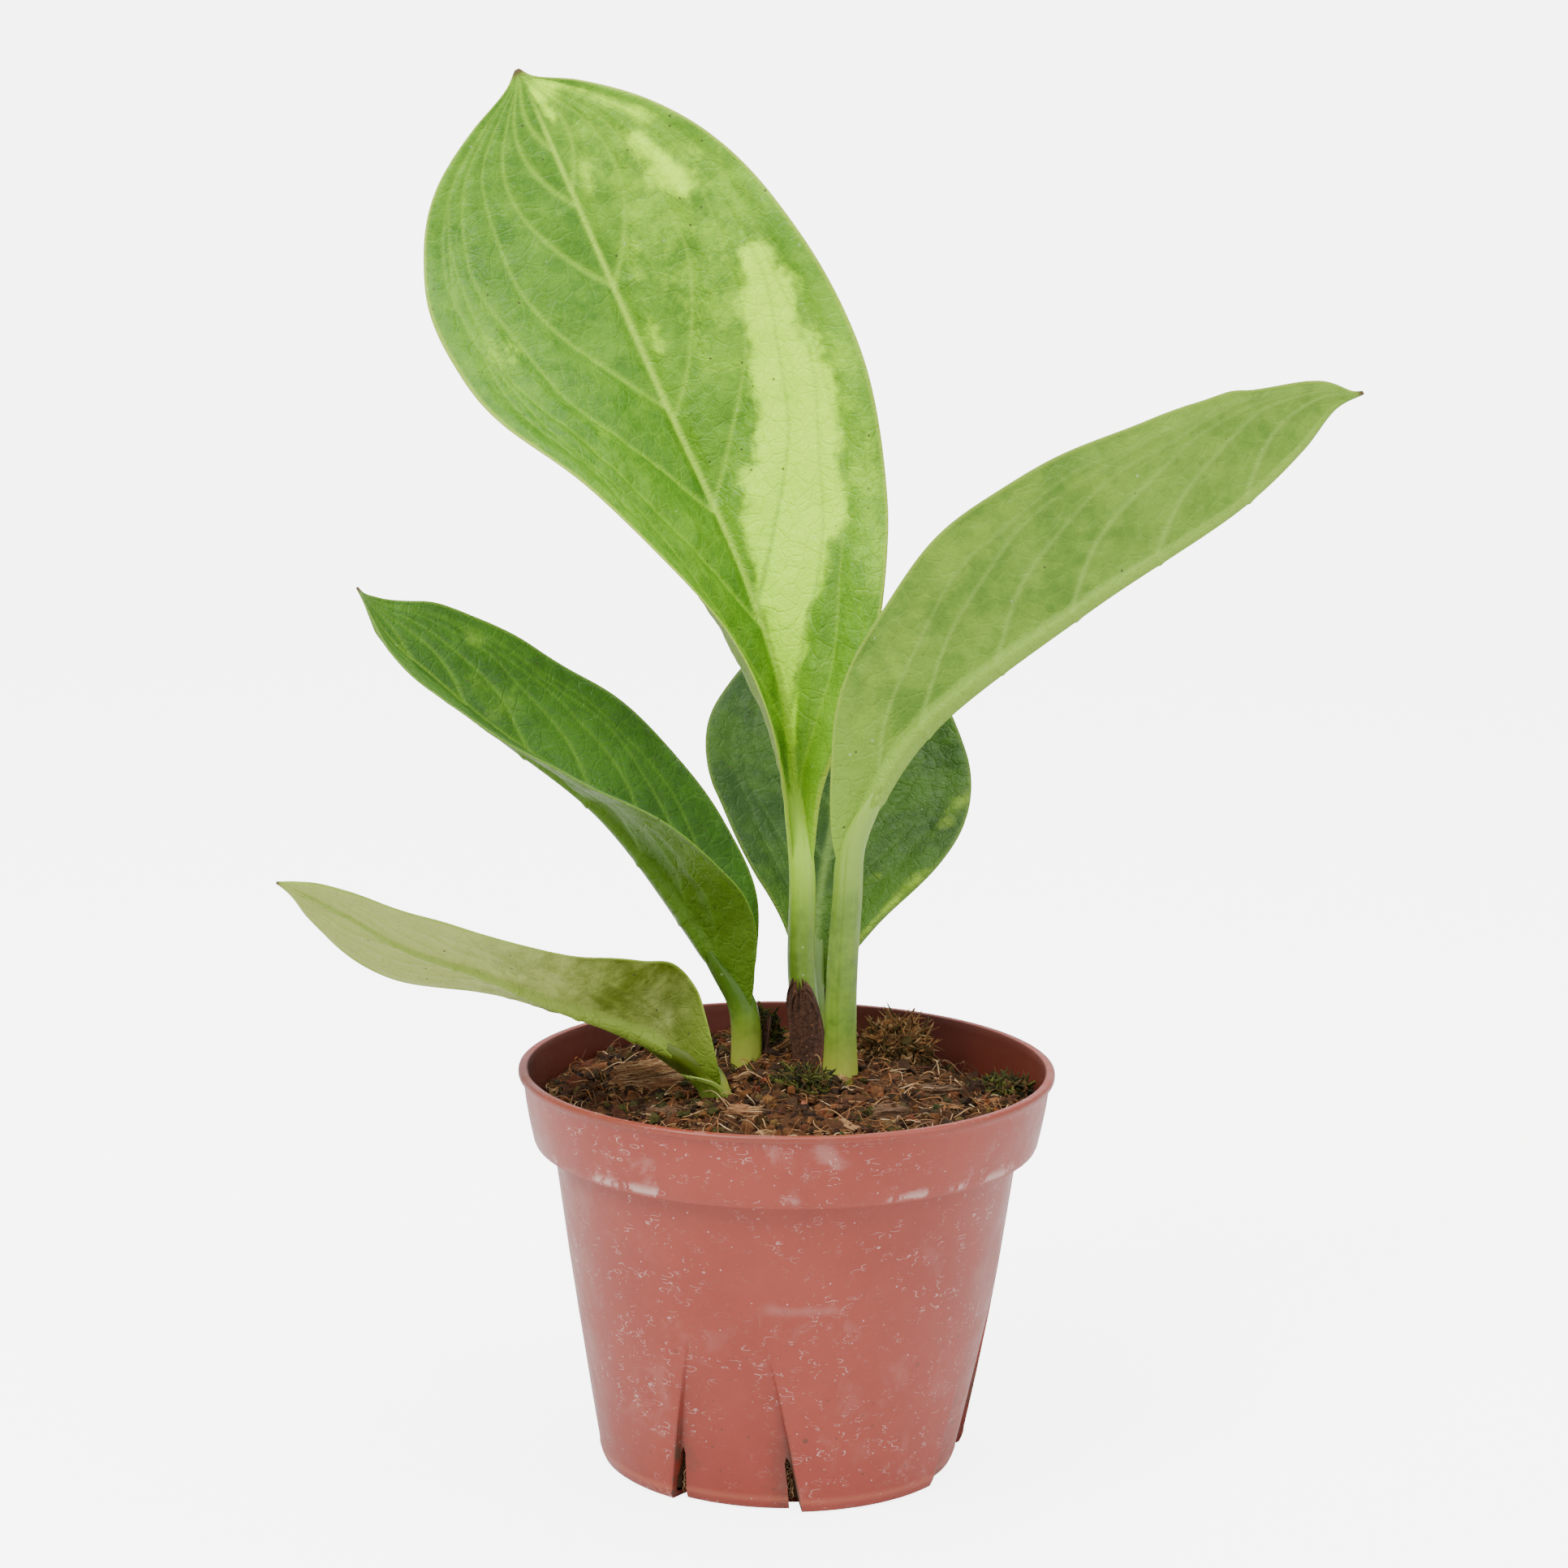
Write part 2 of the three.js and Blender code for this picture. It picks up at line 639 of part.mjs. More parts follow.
// The blade has a thick midrib that thins out towards the tip, and thin margins.
function makeBlade(leaf) {
  const frame = leafFrame(leaf);
  const loops = [];
  for (let row = 0; row <= bladeRows; row += 1) {
    const t = row / bladeRows;
    const upper = bladeColumns.map((u) => bladePoint(leaf, frame, t, u));
    const { up, along } = frame.at(t);
    const lower = bladeColumns.map((u, i) => {
      const before = upper[Math.max(i - 1, 0)];
      const after = upper[Math.min(i + 1, upper.length - 1)];
      const normal = new THREE.Vector3().subVectors(after, before).cross(along).normalize();
      if (u === 0) normal.copy(up);
      const ribDepth = (1 - t) * leaf.petioleDiameter * ribDepthShare;
      const rib = Math.max(1 - Math.abs(u) / ribWidthShare, 0) * ribDepth;
      const margin = 1 - marginThinning * Math.abs(u);
      return upper[i].clone().addScaledVector(normal, -(leaf.thickness * margin + rib));
    });
    loops.push([...upper, ...lower.reverse()]);
  }
  return skin(loops);
}

// The petiole is round, a little thicker at its foot, and stops just under the blade.
function makePetiole(leaf, grow = 0) {
  const frame = leafFrame(leaf);
  const sides = petioleSides;
  const rows = Math.max(4, Math.round(leaf.bladeStart * petioleRowsPerShare));
  // The end is cut square and the blade's base leans, so the gap is a little over the clearance.
  const end = leaf.bladeStart - (clearance * 1.67) / leaf.length;
  const base = frame.at(0);
  const loops = [];
  for (let row = 0; row <= rows; row += 1) {
    const share = (end * row) / rows;
    const centre = frame.pointAt(share);
    const ahead = frame.pointAt(Math.min(share + directionReach, 1));
    const along = row === 0 ? new THREE.Vector3(0, 0, 1) : ahead.sub(centre).normalize();
    const up = base.up.clone().addScaledVector(along, -base.up.dot(along)).normalize();
    const across = new THREE.Vector3().crossVectors(along, up);
    const taper = petioleFootShare - petioleTaper * (row / rows);
    const radius = (leaf.petioleDiameter / 2) * taper + grow;
    if (row === 0) centre.z -= grow;
    const loop = [];
    for (let i = 0; i < sides; i += 1) {
      const angle = ((i + 0.5) / sides) * Math.PI * 2;
      loop.push(centre.clone()
        .addScaledVector(across, radius * Math.cos(angle))
        .addScaledVector(up, radius * Math.sin(angle)));
    }
    loops.push(loop);
  }
  return skin(loops);
}

// ---------------------------------------------------------------- sheaths

function makeSheath(sheath, grow = 0) {
  const leaf = leaves.find((item) => item.name === sheath.leaf);
  const frame = leafFrame(leaf);
  const rows = sheathRows;
  const parts = sheathParts;
  const from = rootDepth - sheathDepth;
  const loops = [];
  for (let row = 0; row <= rows; row += 1) {
    const s = row / rows;
    const share = (from + (sheath.height * s)) / leaf.length;
    const centre = frame.pointAt(share);
    if (row === 0) centre.z -= grow;
    const petiole = (leaf.petioleDiameter / 2) * petioleFootShare;
    const inner = petiole + clearance + sheathSlack + sheath.flare * s * s;
    const narrowed = Math.max(1 - sheathNarrowing * s ** sheathNarrowingPower, 0.02);
    const halfSpan = (rad(sheath.span) / 2) * Math.sqrt(narrowed);
    const arc = (radius, spread) => {
      const list = [];
      for (let i = 0; i <= parts; i += 1) {
        const angle = rad(sheath.faces) + (halfSpan + spread) * ((2 * i) / parts - 1);
        list.push(new THREE.Vector3(radius * Math.cos(angle), radius * Math.sin(angle), 0).add(centre));
      }
      return list;
    };
    const spread = grow / inner;
    const inside = arc(inner - grow, spread);
    const outside = arc(inner + sheath.thickness * (1 - sheathThinning * s) + grow, spread);
    loops.push([...outside, ...inside.reverse()]);
  }
  return skin(loops);
}

// ---------------------------------------------------------------- loose pieces and rootstock

// A rounded, uneven lump.
function makeLump(centre, size, seed, detail, grow = 0) {
  const ball = new THREE.IcosahedronGeometry(1, detail);
  ball.deleteAttribute('normal');
  ball.deleteAttribute('uv');
  const geometry = mergeVertices(ball);
  const p = geometry.attributes.position;
  for (let i = 0; i < p.count; i += 1) {
    const x = p.getX(i);
    const y = p.getY(i);
    const z = p.getZ(i);
    const bump = 1 + 0.12 * Math.sin(3.1 * x + seed * 1.7) * Math.cos(2.7 * y - seed)
      + 0.07 * Math.sin(5.3 * z + 2.2 * x + seed * 0.9);
    p.setXYZ(
      i,
      centre[0] + x * (size[0] * bump + grow),
      centre[1] + y * (size[1] * bump + grow),
      centre[2] + z * (size[2] * bump + grow),
    );
  }
  return facingOut(geometry);
}

function makeLitter(item, grow = 0) {
  const [x, y] = item.at.map((share) => share * rimRadius);
  const size = item.size.map((share) => share * rimRadius);
  const z = soilHeight(x, y) + size[2] * lumpRise - item.sink * rimRadius;
  return makeLump([x, y, z], size, item.seed, 1, grow);
}

// A root thins out as it runs from the rootstock down and outwards.
function makeRoot({ angle, reach, drop }, grow) {
  const a = rad(angle);
  const start = rootLevel - rootstockThickness / 2;
  const loops = [];
  const rows = rootRows;
  const sides = rootSides;
  for (let row = 0; row <= rows; row += 1) {
    const s = row / rows;
    const past = row === rows ? grow : 0;
    const r = rootStart + reach * s ** 0.7 + past;
    const z = start - drop * s ** 1.4 - past;
    const radius = rootRadius * (1 - rootTaper * s) + grow;
    const loop = [];
    for (let i = 0; i < sides; i += 1) {
      const turn = ((i + 0.5) / sides) * Math.PI * 2;
      const sideways = radius * Math.cos(turn);
      const outwards = radius * Math.sin(turn);
      loop.push(new THREE.Vector3(
        (r + outwards * s) * Math.cos(a) - sideways * Math.sin(a),
        (r + outwards * s) * Math.sin(a) + sideways * Math.cos(a),
        z + outwards,
      ));
    }
    loops.push(loop);
  }
  return skin(loops);
}

// The rootstock carries a stub under each petiole and a few thick roots.
function makeRootstock(grow = 0) {
  const middle = rootLevel - 2 - rootstockThickness / 2;
  const size = [rootstockRadius, rootstockRadius * 1.05, rootstockThickness / 2];
  let body = toSolid(makeLump([-1, 3, middle], size, 3, 1, grow));
  for (const leaf of leaves) {
    const radius = (leaf.petioleDiameter / 2) * 1.1 + grow;
    const top = rootLevel - clearance + grow;
    const bottom = rootLevel - rootstockThickness * 0.65 - grow;
    const stub = new THREE.CylinderGeometry(radius, radius, top - bottom, 10);
    stub.rotateX(Math.PI / 2);
    stub.translate(leaf.root[0], leaf.root[1], (top + bottom) / 2);
    body = body.add(toSolid(stub));
  }
  for (const root of roots) body = body.add(toSolid(makeRoot(root, grow)));
  return body;
}

// The mix is packed round everything that stands or lies in it.
function makeSoil() {
  let soil = toSolid(makeSoilBlock()).subtract(makeRootstock(clearance));
  for (const leaf of leaves) soil = soil.subtract(toSolid(makePetiole(leaf, clearance)));
  for (const sheath of sheaths) soil = soil.subtract(toSolid(makeSheath(sheath, clearance)));
  for (const item of litter) soil = soil.subtract(toSolid(makeLitter(item, clearance)));
  return fromSolid(soil);
}

// ---------------------------------------------------------------- the assembly

const plant = new THREE.Group();
plant.name = 'potted_anthurium';

function addPiece(name, geometry, colour, roughness, metalness = 0) {
  const material = new THREE.MeshStandardMaterial({ color: colour, roughness, metalness });
  const mesh = new THREE.Mesh(geometry, material);
  mesh.name = name;
  plant.add(mesh);
}

addPiece('pot', makePot(), 0xb9604f, 0.45);
addPiece('soil', makeSoil(), 0x4a3222, 0.95);
addPiece('rootstock', fromSolid(makeRootstock()), 0x8a6a48, 0.8);
for (const leaf of leaves) {
  addPiece(`${leaf.name}_petiole`, makePetiole(leaf), 0x9fc46a, 0.45);
  addPiece(`${leaf.name}_blade`, makeBlade(leaf), leaf.colour, 0.4);
}
for (const sheath of sheaths) {
  addPiece(sheath.name, makeSheath(sheath), sheath.colour, 0.85);
}
for (const item of litter) {
  addPiece(item.name, makeLitter(item), item.colour, 0.95);
}

export default plant;
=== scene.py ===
"""A young anthurium in a round nursery pot: the detailed model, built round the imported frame.

Lengths in the tables are millimetres and are turned into metres when a mesh is made.
The pot stands on Z = 0 with its axis on the Z axis, and the display side faces -Y.
"""
import logging
import math
import random
from dataclasses import dataclass, field
from enum import Enum
from typing import Sequence

import bmesh
import bpy
import numpy as np
from bmesh.types import BMVert, BMesh
from bpy.types import ID, Material, Mesh, Node, NodeSocket, NodeTree, Object
from mathutils import Matrix, Vector, noise


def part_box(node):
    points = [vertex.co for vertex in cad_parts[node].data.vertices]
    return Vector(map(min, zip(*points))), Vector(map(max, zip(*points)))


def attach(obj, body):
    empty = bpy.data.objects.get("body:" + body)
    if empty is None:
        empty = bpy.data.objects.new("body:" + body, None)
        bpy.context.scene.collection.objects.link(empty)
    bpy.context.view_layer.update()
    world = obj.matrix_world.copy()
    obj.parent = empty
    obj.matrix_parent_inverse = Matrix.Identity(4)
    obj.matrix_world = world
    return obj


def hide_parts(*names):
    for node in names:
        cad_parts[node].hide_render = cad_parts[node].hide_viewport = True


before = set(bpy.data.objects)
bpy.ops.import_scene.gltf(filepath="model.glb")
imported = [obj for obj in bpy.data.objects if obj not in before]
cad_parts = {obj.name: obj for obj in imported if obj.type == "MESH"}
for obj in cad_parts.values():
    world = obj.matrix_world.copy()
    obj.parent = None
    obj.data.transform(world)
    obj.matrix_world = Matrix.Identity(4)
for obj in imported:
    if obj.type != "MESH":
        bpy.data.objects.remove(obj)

LOG = logging.getLogger("potted_anthurium")
MM = 0.001
BODY = "root"
Color = tuple[float, float, float]
Array = np.ndarray


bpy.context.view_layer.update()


# ---------------- small mathematics


def between(places: Sequence[float], values: Sequence[float], at: Array) -> Array:
    """A smooth value between stations, with slopes averaged from the neighbouring spans.

    Args:
        places: rising station positions.
        values: the value at each station.
        at: where to read the curve.

    Returns:
        The values at the wanted places.
    """
    x = np.asarray(places, float)
    y = np.asarray(values, float)
    slope = np.diff(y) / np.diff(x)
    tangent = np.concatenate([slope[:1], (slope[:-1] + slope[1:]) / 2, slope[-1:]])
    i = np.clip(np.searchsorted(x, at, side="right") - 1, 0, len(x) - 2)
    h = x[i + 1] - x[i]
    s = np.clip((at - x[i]) / h, 0, 1)
    s2, s3 = s * s, s * s * s
    rise = (2 * s3 - 3 * s2 + 1) * y[i] + (3 * s2 - 2 * s3) * y[i + 1]
    return rise + (s3 - 2 * s2 + s) * h * tangent[i] + (s3 - s2) * h * tangent[i + 1]


def smoothstep(low: float, high: float, value: Array) -> Array:
    """Returns 0 below low, 1 above high and a smooth ramp between."""
    s = np.clip((value - low) / (high - low), 0, 1)
    return s * s * (3 - 2 * s)


def unit(vectors: Array) -> Array:
    """Returns the vectors at length one."""
    return vectors / np.maximum(np.linalg.norm(vectors, axis=-1, keepdims=True), 1e-12)


def square_to(ways: Array, along: Array) -> Array:
    """Returns the directions nearest to ways that are square to along."""
    return unit(ways - (ways * along).sum(axis=1, keepdims=True) * along)


def polar(points: Array) -> tuple[Array, Array]:
    """Returns the points' distances from the Z axis and their angles in degrees."""
    return np.hypot(points[:, 0], points[:, 1]), np.degrees(np.arctan2(points[:, 1], points[:, 0]))


def round_points(radius: Array, angle: Array, z: Array) -> Array:
    """Returns points at these radii, angles in radians and heights, one row each."""
    return np.stack([radius * np.cos(angle), radius * np.sin(angle), z], axis=-1)


def scaled(vector: Vector, factors: Vector) -> Vector:
    """Returns the vector with each part multiplied by its own factor."""
    return Vector((vector.x * factors.x, vector.y * factors.y, vector.z * factors.z))


def jitter(rng: random.Random, reach: float) -> Vector:
    """Returns a random vector with every part within reach of zero."""
    return Vector([rng.uniform(-reach, reach) for _ in range(3)])


def fractal(points: Array, scale: float, octaves: int = 3, seed: float = 0.0) -> Array:
    """Smooth noise of about -1 to 1.

    Args:
        points: places, one row each.
        scale: how many features fit in one unit of length.
        octaves: how many finer layers are added.
        seed: moves the pattern.

    Returns:
        One value per row.
    """
    shift = Vector((seed * 3.1, seed * 1.7, seed * 2.3))
    return np.array([
        noise.fractal(Vector(p) * scale + shift, 0.9, 2.0, octaves, noise_basis="PERLIN_ORIGINAL")
        for p in points
    ])


class Spine:
    """A smooth line through a few points, measured along its length."""

    def __init__(self, points: Sequence[Sequence[float]], origin: Sequence[float], length: float) -> None:
        """Fits the line.

        Args:
            points: offsets from the origin.
            origin: where the line starts.
            length: the line's wanted length; the offsets are rescaled to it.
        """
        raw = self._through(np.asarray(points, float))
        steps = np.linalg.norm(np.diff(raw, axis=0), axis=1)
        scale = length / steps.sum()
        self.points = raw * scale + np.asarray(origin, float)
        self.reach = np.concatenate([[0.0], np.cumsum(steps) * scale])
        self.length = length

    @staticmethod
    def _through(p: Array, parts: int = 90) -> Array:
        """Returns a centripetal Catmull-Rom line through the points."""
        padded = np.vstack([2 * p[0] - p[1], p, 2 * p[-1] - p[-2]])
        pieces = []
        for i in range(len(p) - 1):
            a, b, c, d = padded[i:i + 4]
            da, db, dc = (max(np.linalg.norm(v) ** 0.5, 1e-4) for v in (b - a, c - b, d - c))
            start = ((b - a) / da - (c - a) / (da + db) + (c - b) / db) * db
            end = ((c - b) / db - (d - b) / (db + dc) + (d - c) / dc) * db
            w = np.linspace(0, 1, parts, endpoint=i == len(p) - 2)[:, None]
            w2, w3 = w * w, w * w * w
            pieces.append((2 * w3 - 3 * w2 + 1) * b + (w3 - 2 * w2 + w) * start
                          + (3 * w2 - 2 * w3) * c + (w3 - w2) * end)
        return np.concatenate(pieces)

    def at(self, share: Array) -> Array:
        """Returns the points at these shares of the length."""
        where = np.clip(share, 0, 1) * self.length
        return np.stack([np.interp(where, self.reach, self.points[:, k]) for k in range(3)], axis=-1)

    def along(self, share: Array, reach: float = 0.012) -> Array:
        """Returns the directions of the line at these shares of its length."""
        return unit(self.at(share + reach) - self.at(share - reach))


# ---------------- mesh helpers


def move_verts(bm: BMesh, points: Array) -> None:
    """Moves every vertex of the mesh to a new place, one row each."""
    for vert, point in zip(bm.verts, points):
        vert.co = point


def vert_array(bm: BMesh) -> Array:
    """Returns the places of the mesh's vertices."""
    return np.array([vert.co[:] for vert in bm.verts])


def parameter_slab(columns: int, rows: int) -> BMesh:
    """A closed flat slab whose vertices hold parameters: x and y from 0 to 1, z 0 above and -1 below.

    Args:
        columns: spaces across x.
        rows: spaces along y.

    Returns:
        The slab, ready to be bent into shape.
    """
    bm = bmesh.new()
    bmesh.ops.create_grid(bm, x_segments=columns, y_segments=rows, size=0.5)
    bmesh.ops.translate(bm, verts=bm.verts[:], vec=(0.5, 0.5, 0))
    raised = bmesh.ops.extrude_face_region(bm, geom=bm.faces[:])
    lower = [item for item in raised["geom"] if isinstance(item, BMVert)]
    bmesh.ops.translate(bm, verts=lower, vec=(0, 0, -1))
    bm.verts.ensure_lookup_table()
    return bm


def face_outwards(bm: BMesh) -> None:
    """Turns a closed shape's faces outwards."""
    bmesh.ops.recalc_face_normals(bm, faces=bm.faces[:])
    if bm.calc_volume(signed=True) < 0:
        bmesh.ops.reverse_faces(bm, faces=bm.faces[:])


def turned(profile: Sequence[tuple[float, float]], steps: int) -> BMesh:
    """Spins a profile of (radius, height) points round the Z axis.

    Args:
        profile: points that start and end on the axis.
        steps: columns round the full circle.

    Returns:
        The closed shape, facing outwards.
    """
    bm = bmesh.new()
    verts = [bm.verts.new((radius, 0, height)) for radius, height in profile]
    edges = [bm.edges.new(pair) for pair in zip(verts, verts[1:])]
    bmesh.ops.spin(bm, geom=verts + edges, cent=(0, 0, 0), axis=(0, 0, 1), angle=math.tau,
                   steps=steps, use_merge=True, use_duplicate=False)
    bmesh.ops.remove_doubles(bm, verts=bm.verts[:], dist=1e-5)
    face_outwards(bm)
    return bm


def add_values(mesh: Mesh, name: str, values: Array) -> None:
    """Stores one number per vertex as a named attribute."""
    layer = mesh.attributes.new(name, "FLOAT", "POINT")
    layer.data.foreach_set("value", np.asarray(values, np.float32))


def add_tints(mesh: Mesh, tints: Array) -> None:
    """Stores one colour per vertex in the attribute that loose material reads."""
    layer = mesh.attributes.new("tint", "FLOAT_COLOR", "POINT")
    rgba = np.concatenate([tints, np.ones((len(tints), 1))], axis=1)
    layer.data.foreach_set("color", rgba.astype(np.float32).ravel())


def add_object(name: str, data: ID) -> Object:
    """Returns a new object in the scene that shows the data."""
    added = bpy.data.objects.new(name, data)
    bpy.context.scene.collection.objects.link(added)
    return added


def place_mesh(mesh: Mesh, name: str, material: Material,
               replaces: Sequence[str] = (), smooth: bool = True) -> Object:
    """Makes a finished piece of a mesh in metres and ties it to the frame.

    Args:
        mesh: the mesh, in the frame's own place.
        name: the piece's name.
        material: its finish.
        replaces: CAD nodes that the piece stands for.
        smooth: whether its faces shade smoothly.

    Returns:
        The piece.
    """
    mesh.materials.clear()
    mesh.materials.append(material)
    mesh.polygons.foreach_set("use_smooth", [smooth] * len(mesh.polygons))
    piece = add_object(name, mesh)
    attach(piece, BODY)
    if replaces:
        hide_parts(*replaces)
    LOG.info("%s: %d faces", name, len(mesh.polygons))
    return piece


def to_mesh(bm: BMesh, name: str, scale: float = MM) -> Mesh:
    """Turns a working mesh in millimetres into mesh data in metres."""
    if scale != 1:
        bmesh.ops.scale(bm, verts=bm.verts[:], vec=(scale, scale, scale))
    mesh = bpy.data.meshes.new(name)
    bm.to_mesh(mesh)
    bm.free()
    return mesh


# ---------------- shared node groups


class Nodes:
    """Builds a node tree with short calls."""

    def __init__(self, tree: NodeTree) -> None:
        """Takes the tree that the nodes go into."""
        self.tree = tree

    def add(self, kind: str, settings: dict | None = None, **inputs: object) -> Node:
        """Adds a node.

        Args:
            kind: the node's type name without its ShaderNode prefix.
            settings: properties of the node itself.
            inputs: values or sockets, by socket name with spaces as underscores.

        Returns:
            The new node.
        """
        node = self.tree.nodes.new("ShaderNode" + kind)
        for key, value in (settings or {}).items():
            setattr(node, key, value)
        return self.fill(node, **inputs)

    def fill(self, node: Node, **inputs: object) -> Node:
        """Feeds a node's sockets by name, with spaces as underscores, and returns it."""
        for key, value in inputs.items():
            self.feed(node.inputs[key.replace("_", " ")], value)
        return node

    def feed(self, socket: NodeSocket, value: object) -> None:
        """Links a socket or sets its value."""
        if isinstance(value, NodeSocket):
            self.tree.links.new(value, socket)
        elif isinstance(value, tuple) and len(value) == 3 and socket.type == "RGBA":
            socket.default_value = (*value, 1.0)
        else:
            socket.default_value = value

    def math(self, operation: str, first: object, second: object = 0.0,
             third: object = 0.0) -> NodeSocket:
        """Returns the result of a Math node."""
        node = self.tree.nodes.new("ShaderNodeMath")
        node.operation = operation
        for socket, value in zip(node.inputs, (first, second, third)):
            self.feed(socket, value)
        return node.outputs[0]

    def times(self, first: object, second: object) -> NodeSocket:
        """Returns the product of two values."""
        return self.math("MULTIPLY", first, second)

    def plus(self, first: object, second: object) -> NodeSocket:
        """Returns the sum of two values."""
        return self.math("ADD", first, second)

    def ramp(self, value: NodeSocket, low: float, high: object,
             start: float = 0.0, end: float = 1.0) -> NodeSocket:
        """Returns the value mapped smoothly from low-high to start-end."""
        node = self.add("MapRange", {"interpolation_type": "SMOOTHSTEP"}, Value=value, From_Min=low,
                        From_Max=high, To_Min=start, To_Max=end)
        return node.outputs["Result"]

    def blend(self, share: object, first: object, second: object,
              how: str = "MIX") -> NodeSocket:
        """Returns two colours mixed by a share."""
        node = self.tree.nodes.new("ShaderNodeMix")
        node.data_type = "RGBA"
        node.blend_type = how
        self.feed(node.inputs[0], share)
        self.feed(node.inputs[6], first)
        self.feed(node.inputs[7], second)
        return node.outputs[2]

    def noise(self, vector: NodeSocket, scale: object, detail: float = 3.0,
              rough: float = 0.55, distortion: float = 0.0) -> NodeSocket:
        """Returns the value of a noise texture."""
        node = self.add("TexNoise", Vector=vector, Scale=scale, Detail=detail,
                        Roughness=rough, Distortion=distortion)
        return node.outputs["Fac"]

    def stretched(self, vector: NodeSocket, scale: Sequence[float],
                  shift: Sequence[float] = (0, 0, 0)) -> NodeSocket:
        """Returns the vector scaled and moved by a Mapping node."""
        node = self.add("Mapping", Vector=vector, Scale=tuple(scale), Location=tuple(shift))
        return node.outputs["Vector"]

    def attribute(self, name: str) -> NodeSocket:
        """Returns a vertex attribute's number."""
        return self.add("Attribute", {"attribute_name": name}).outputs["Fac"]

    def group(self, tree: NodeTree, **inputs: object) -> Node:
        """Places a node group with its own values."""
        node = self.tree.nodes.new("ShaderNodeGroup")
        node.node_tree = tree
        return self.fill(node, **inputs)

    def mask(self, tree: NodeTree, **inputs: object) -> NodeSocket:
        """Places a node group and returns its mask."""
        return self.group(tree, **inputs).outputs["Mask"]


def new_group(name: str, inputs: dict[str, tuple[str, object]],
              outputs: dict[str, str]) -> tuple[NodeTree, Nodes, Node, Node]:
    """Starts a shader node group.

    Args:
        name: the group's name.
        inputs: socket name to its kind and first value.
        outputs: socket name to its kind.

    Returns:
        The tree, its builder, and its input and output nodes.
    """
    tree = bpy.data.node_groups.new(name, "ShaderNodeTree")
    for label, (kind, value) in inputs.items():
        socket = tree.interface.new_socket(label, in_out="INPUT", socket_type="NodeSocket" + kind)
        if value is not None:
            socket.default_value = value
    for label, kind in outputs.items():
        tree.interface.new_socket(label, in_out="OUTPUT", socket_type="NodeSocket" + kind)
    start = tree.nodes.new("NodeGroupInput")
    end = tree.nodes.new("NodeGroupOutput")
    return tree, Nodes(tree), start, end


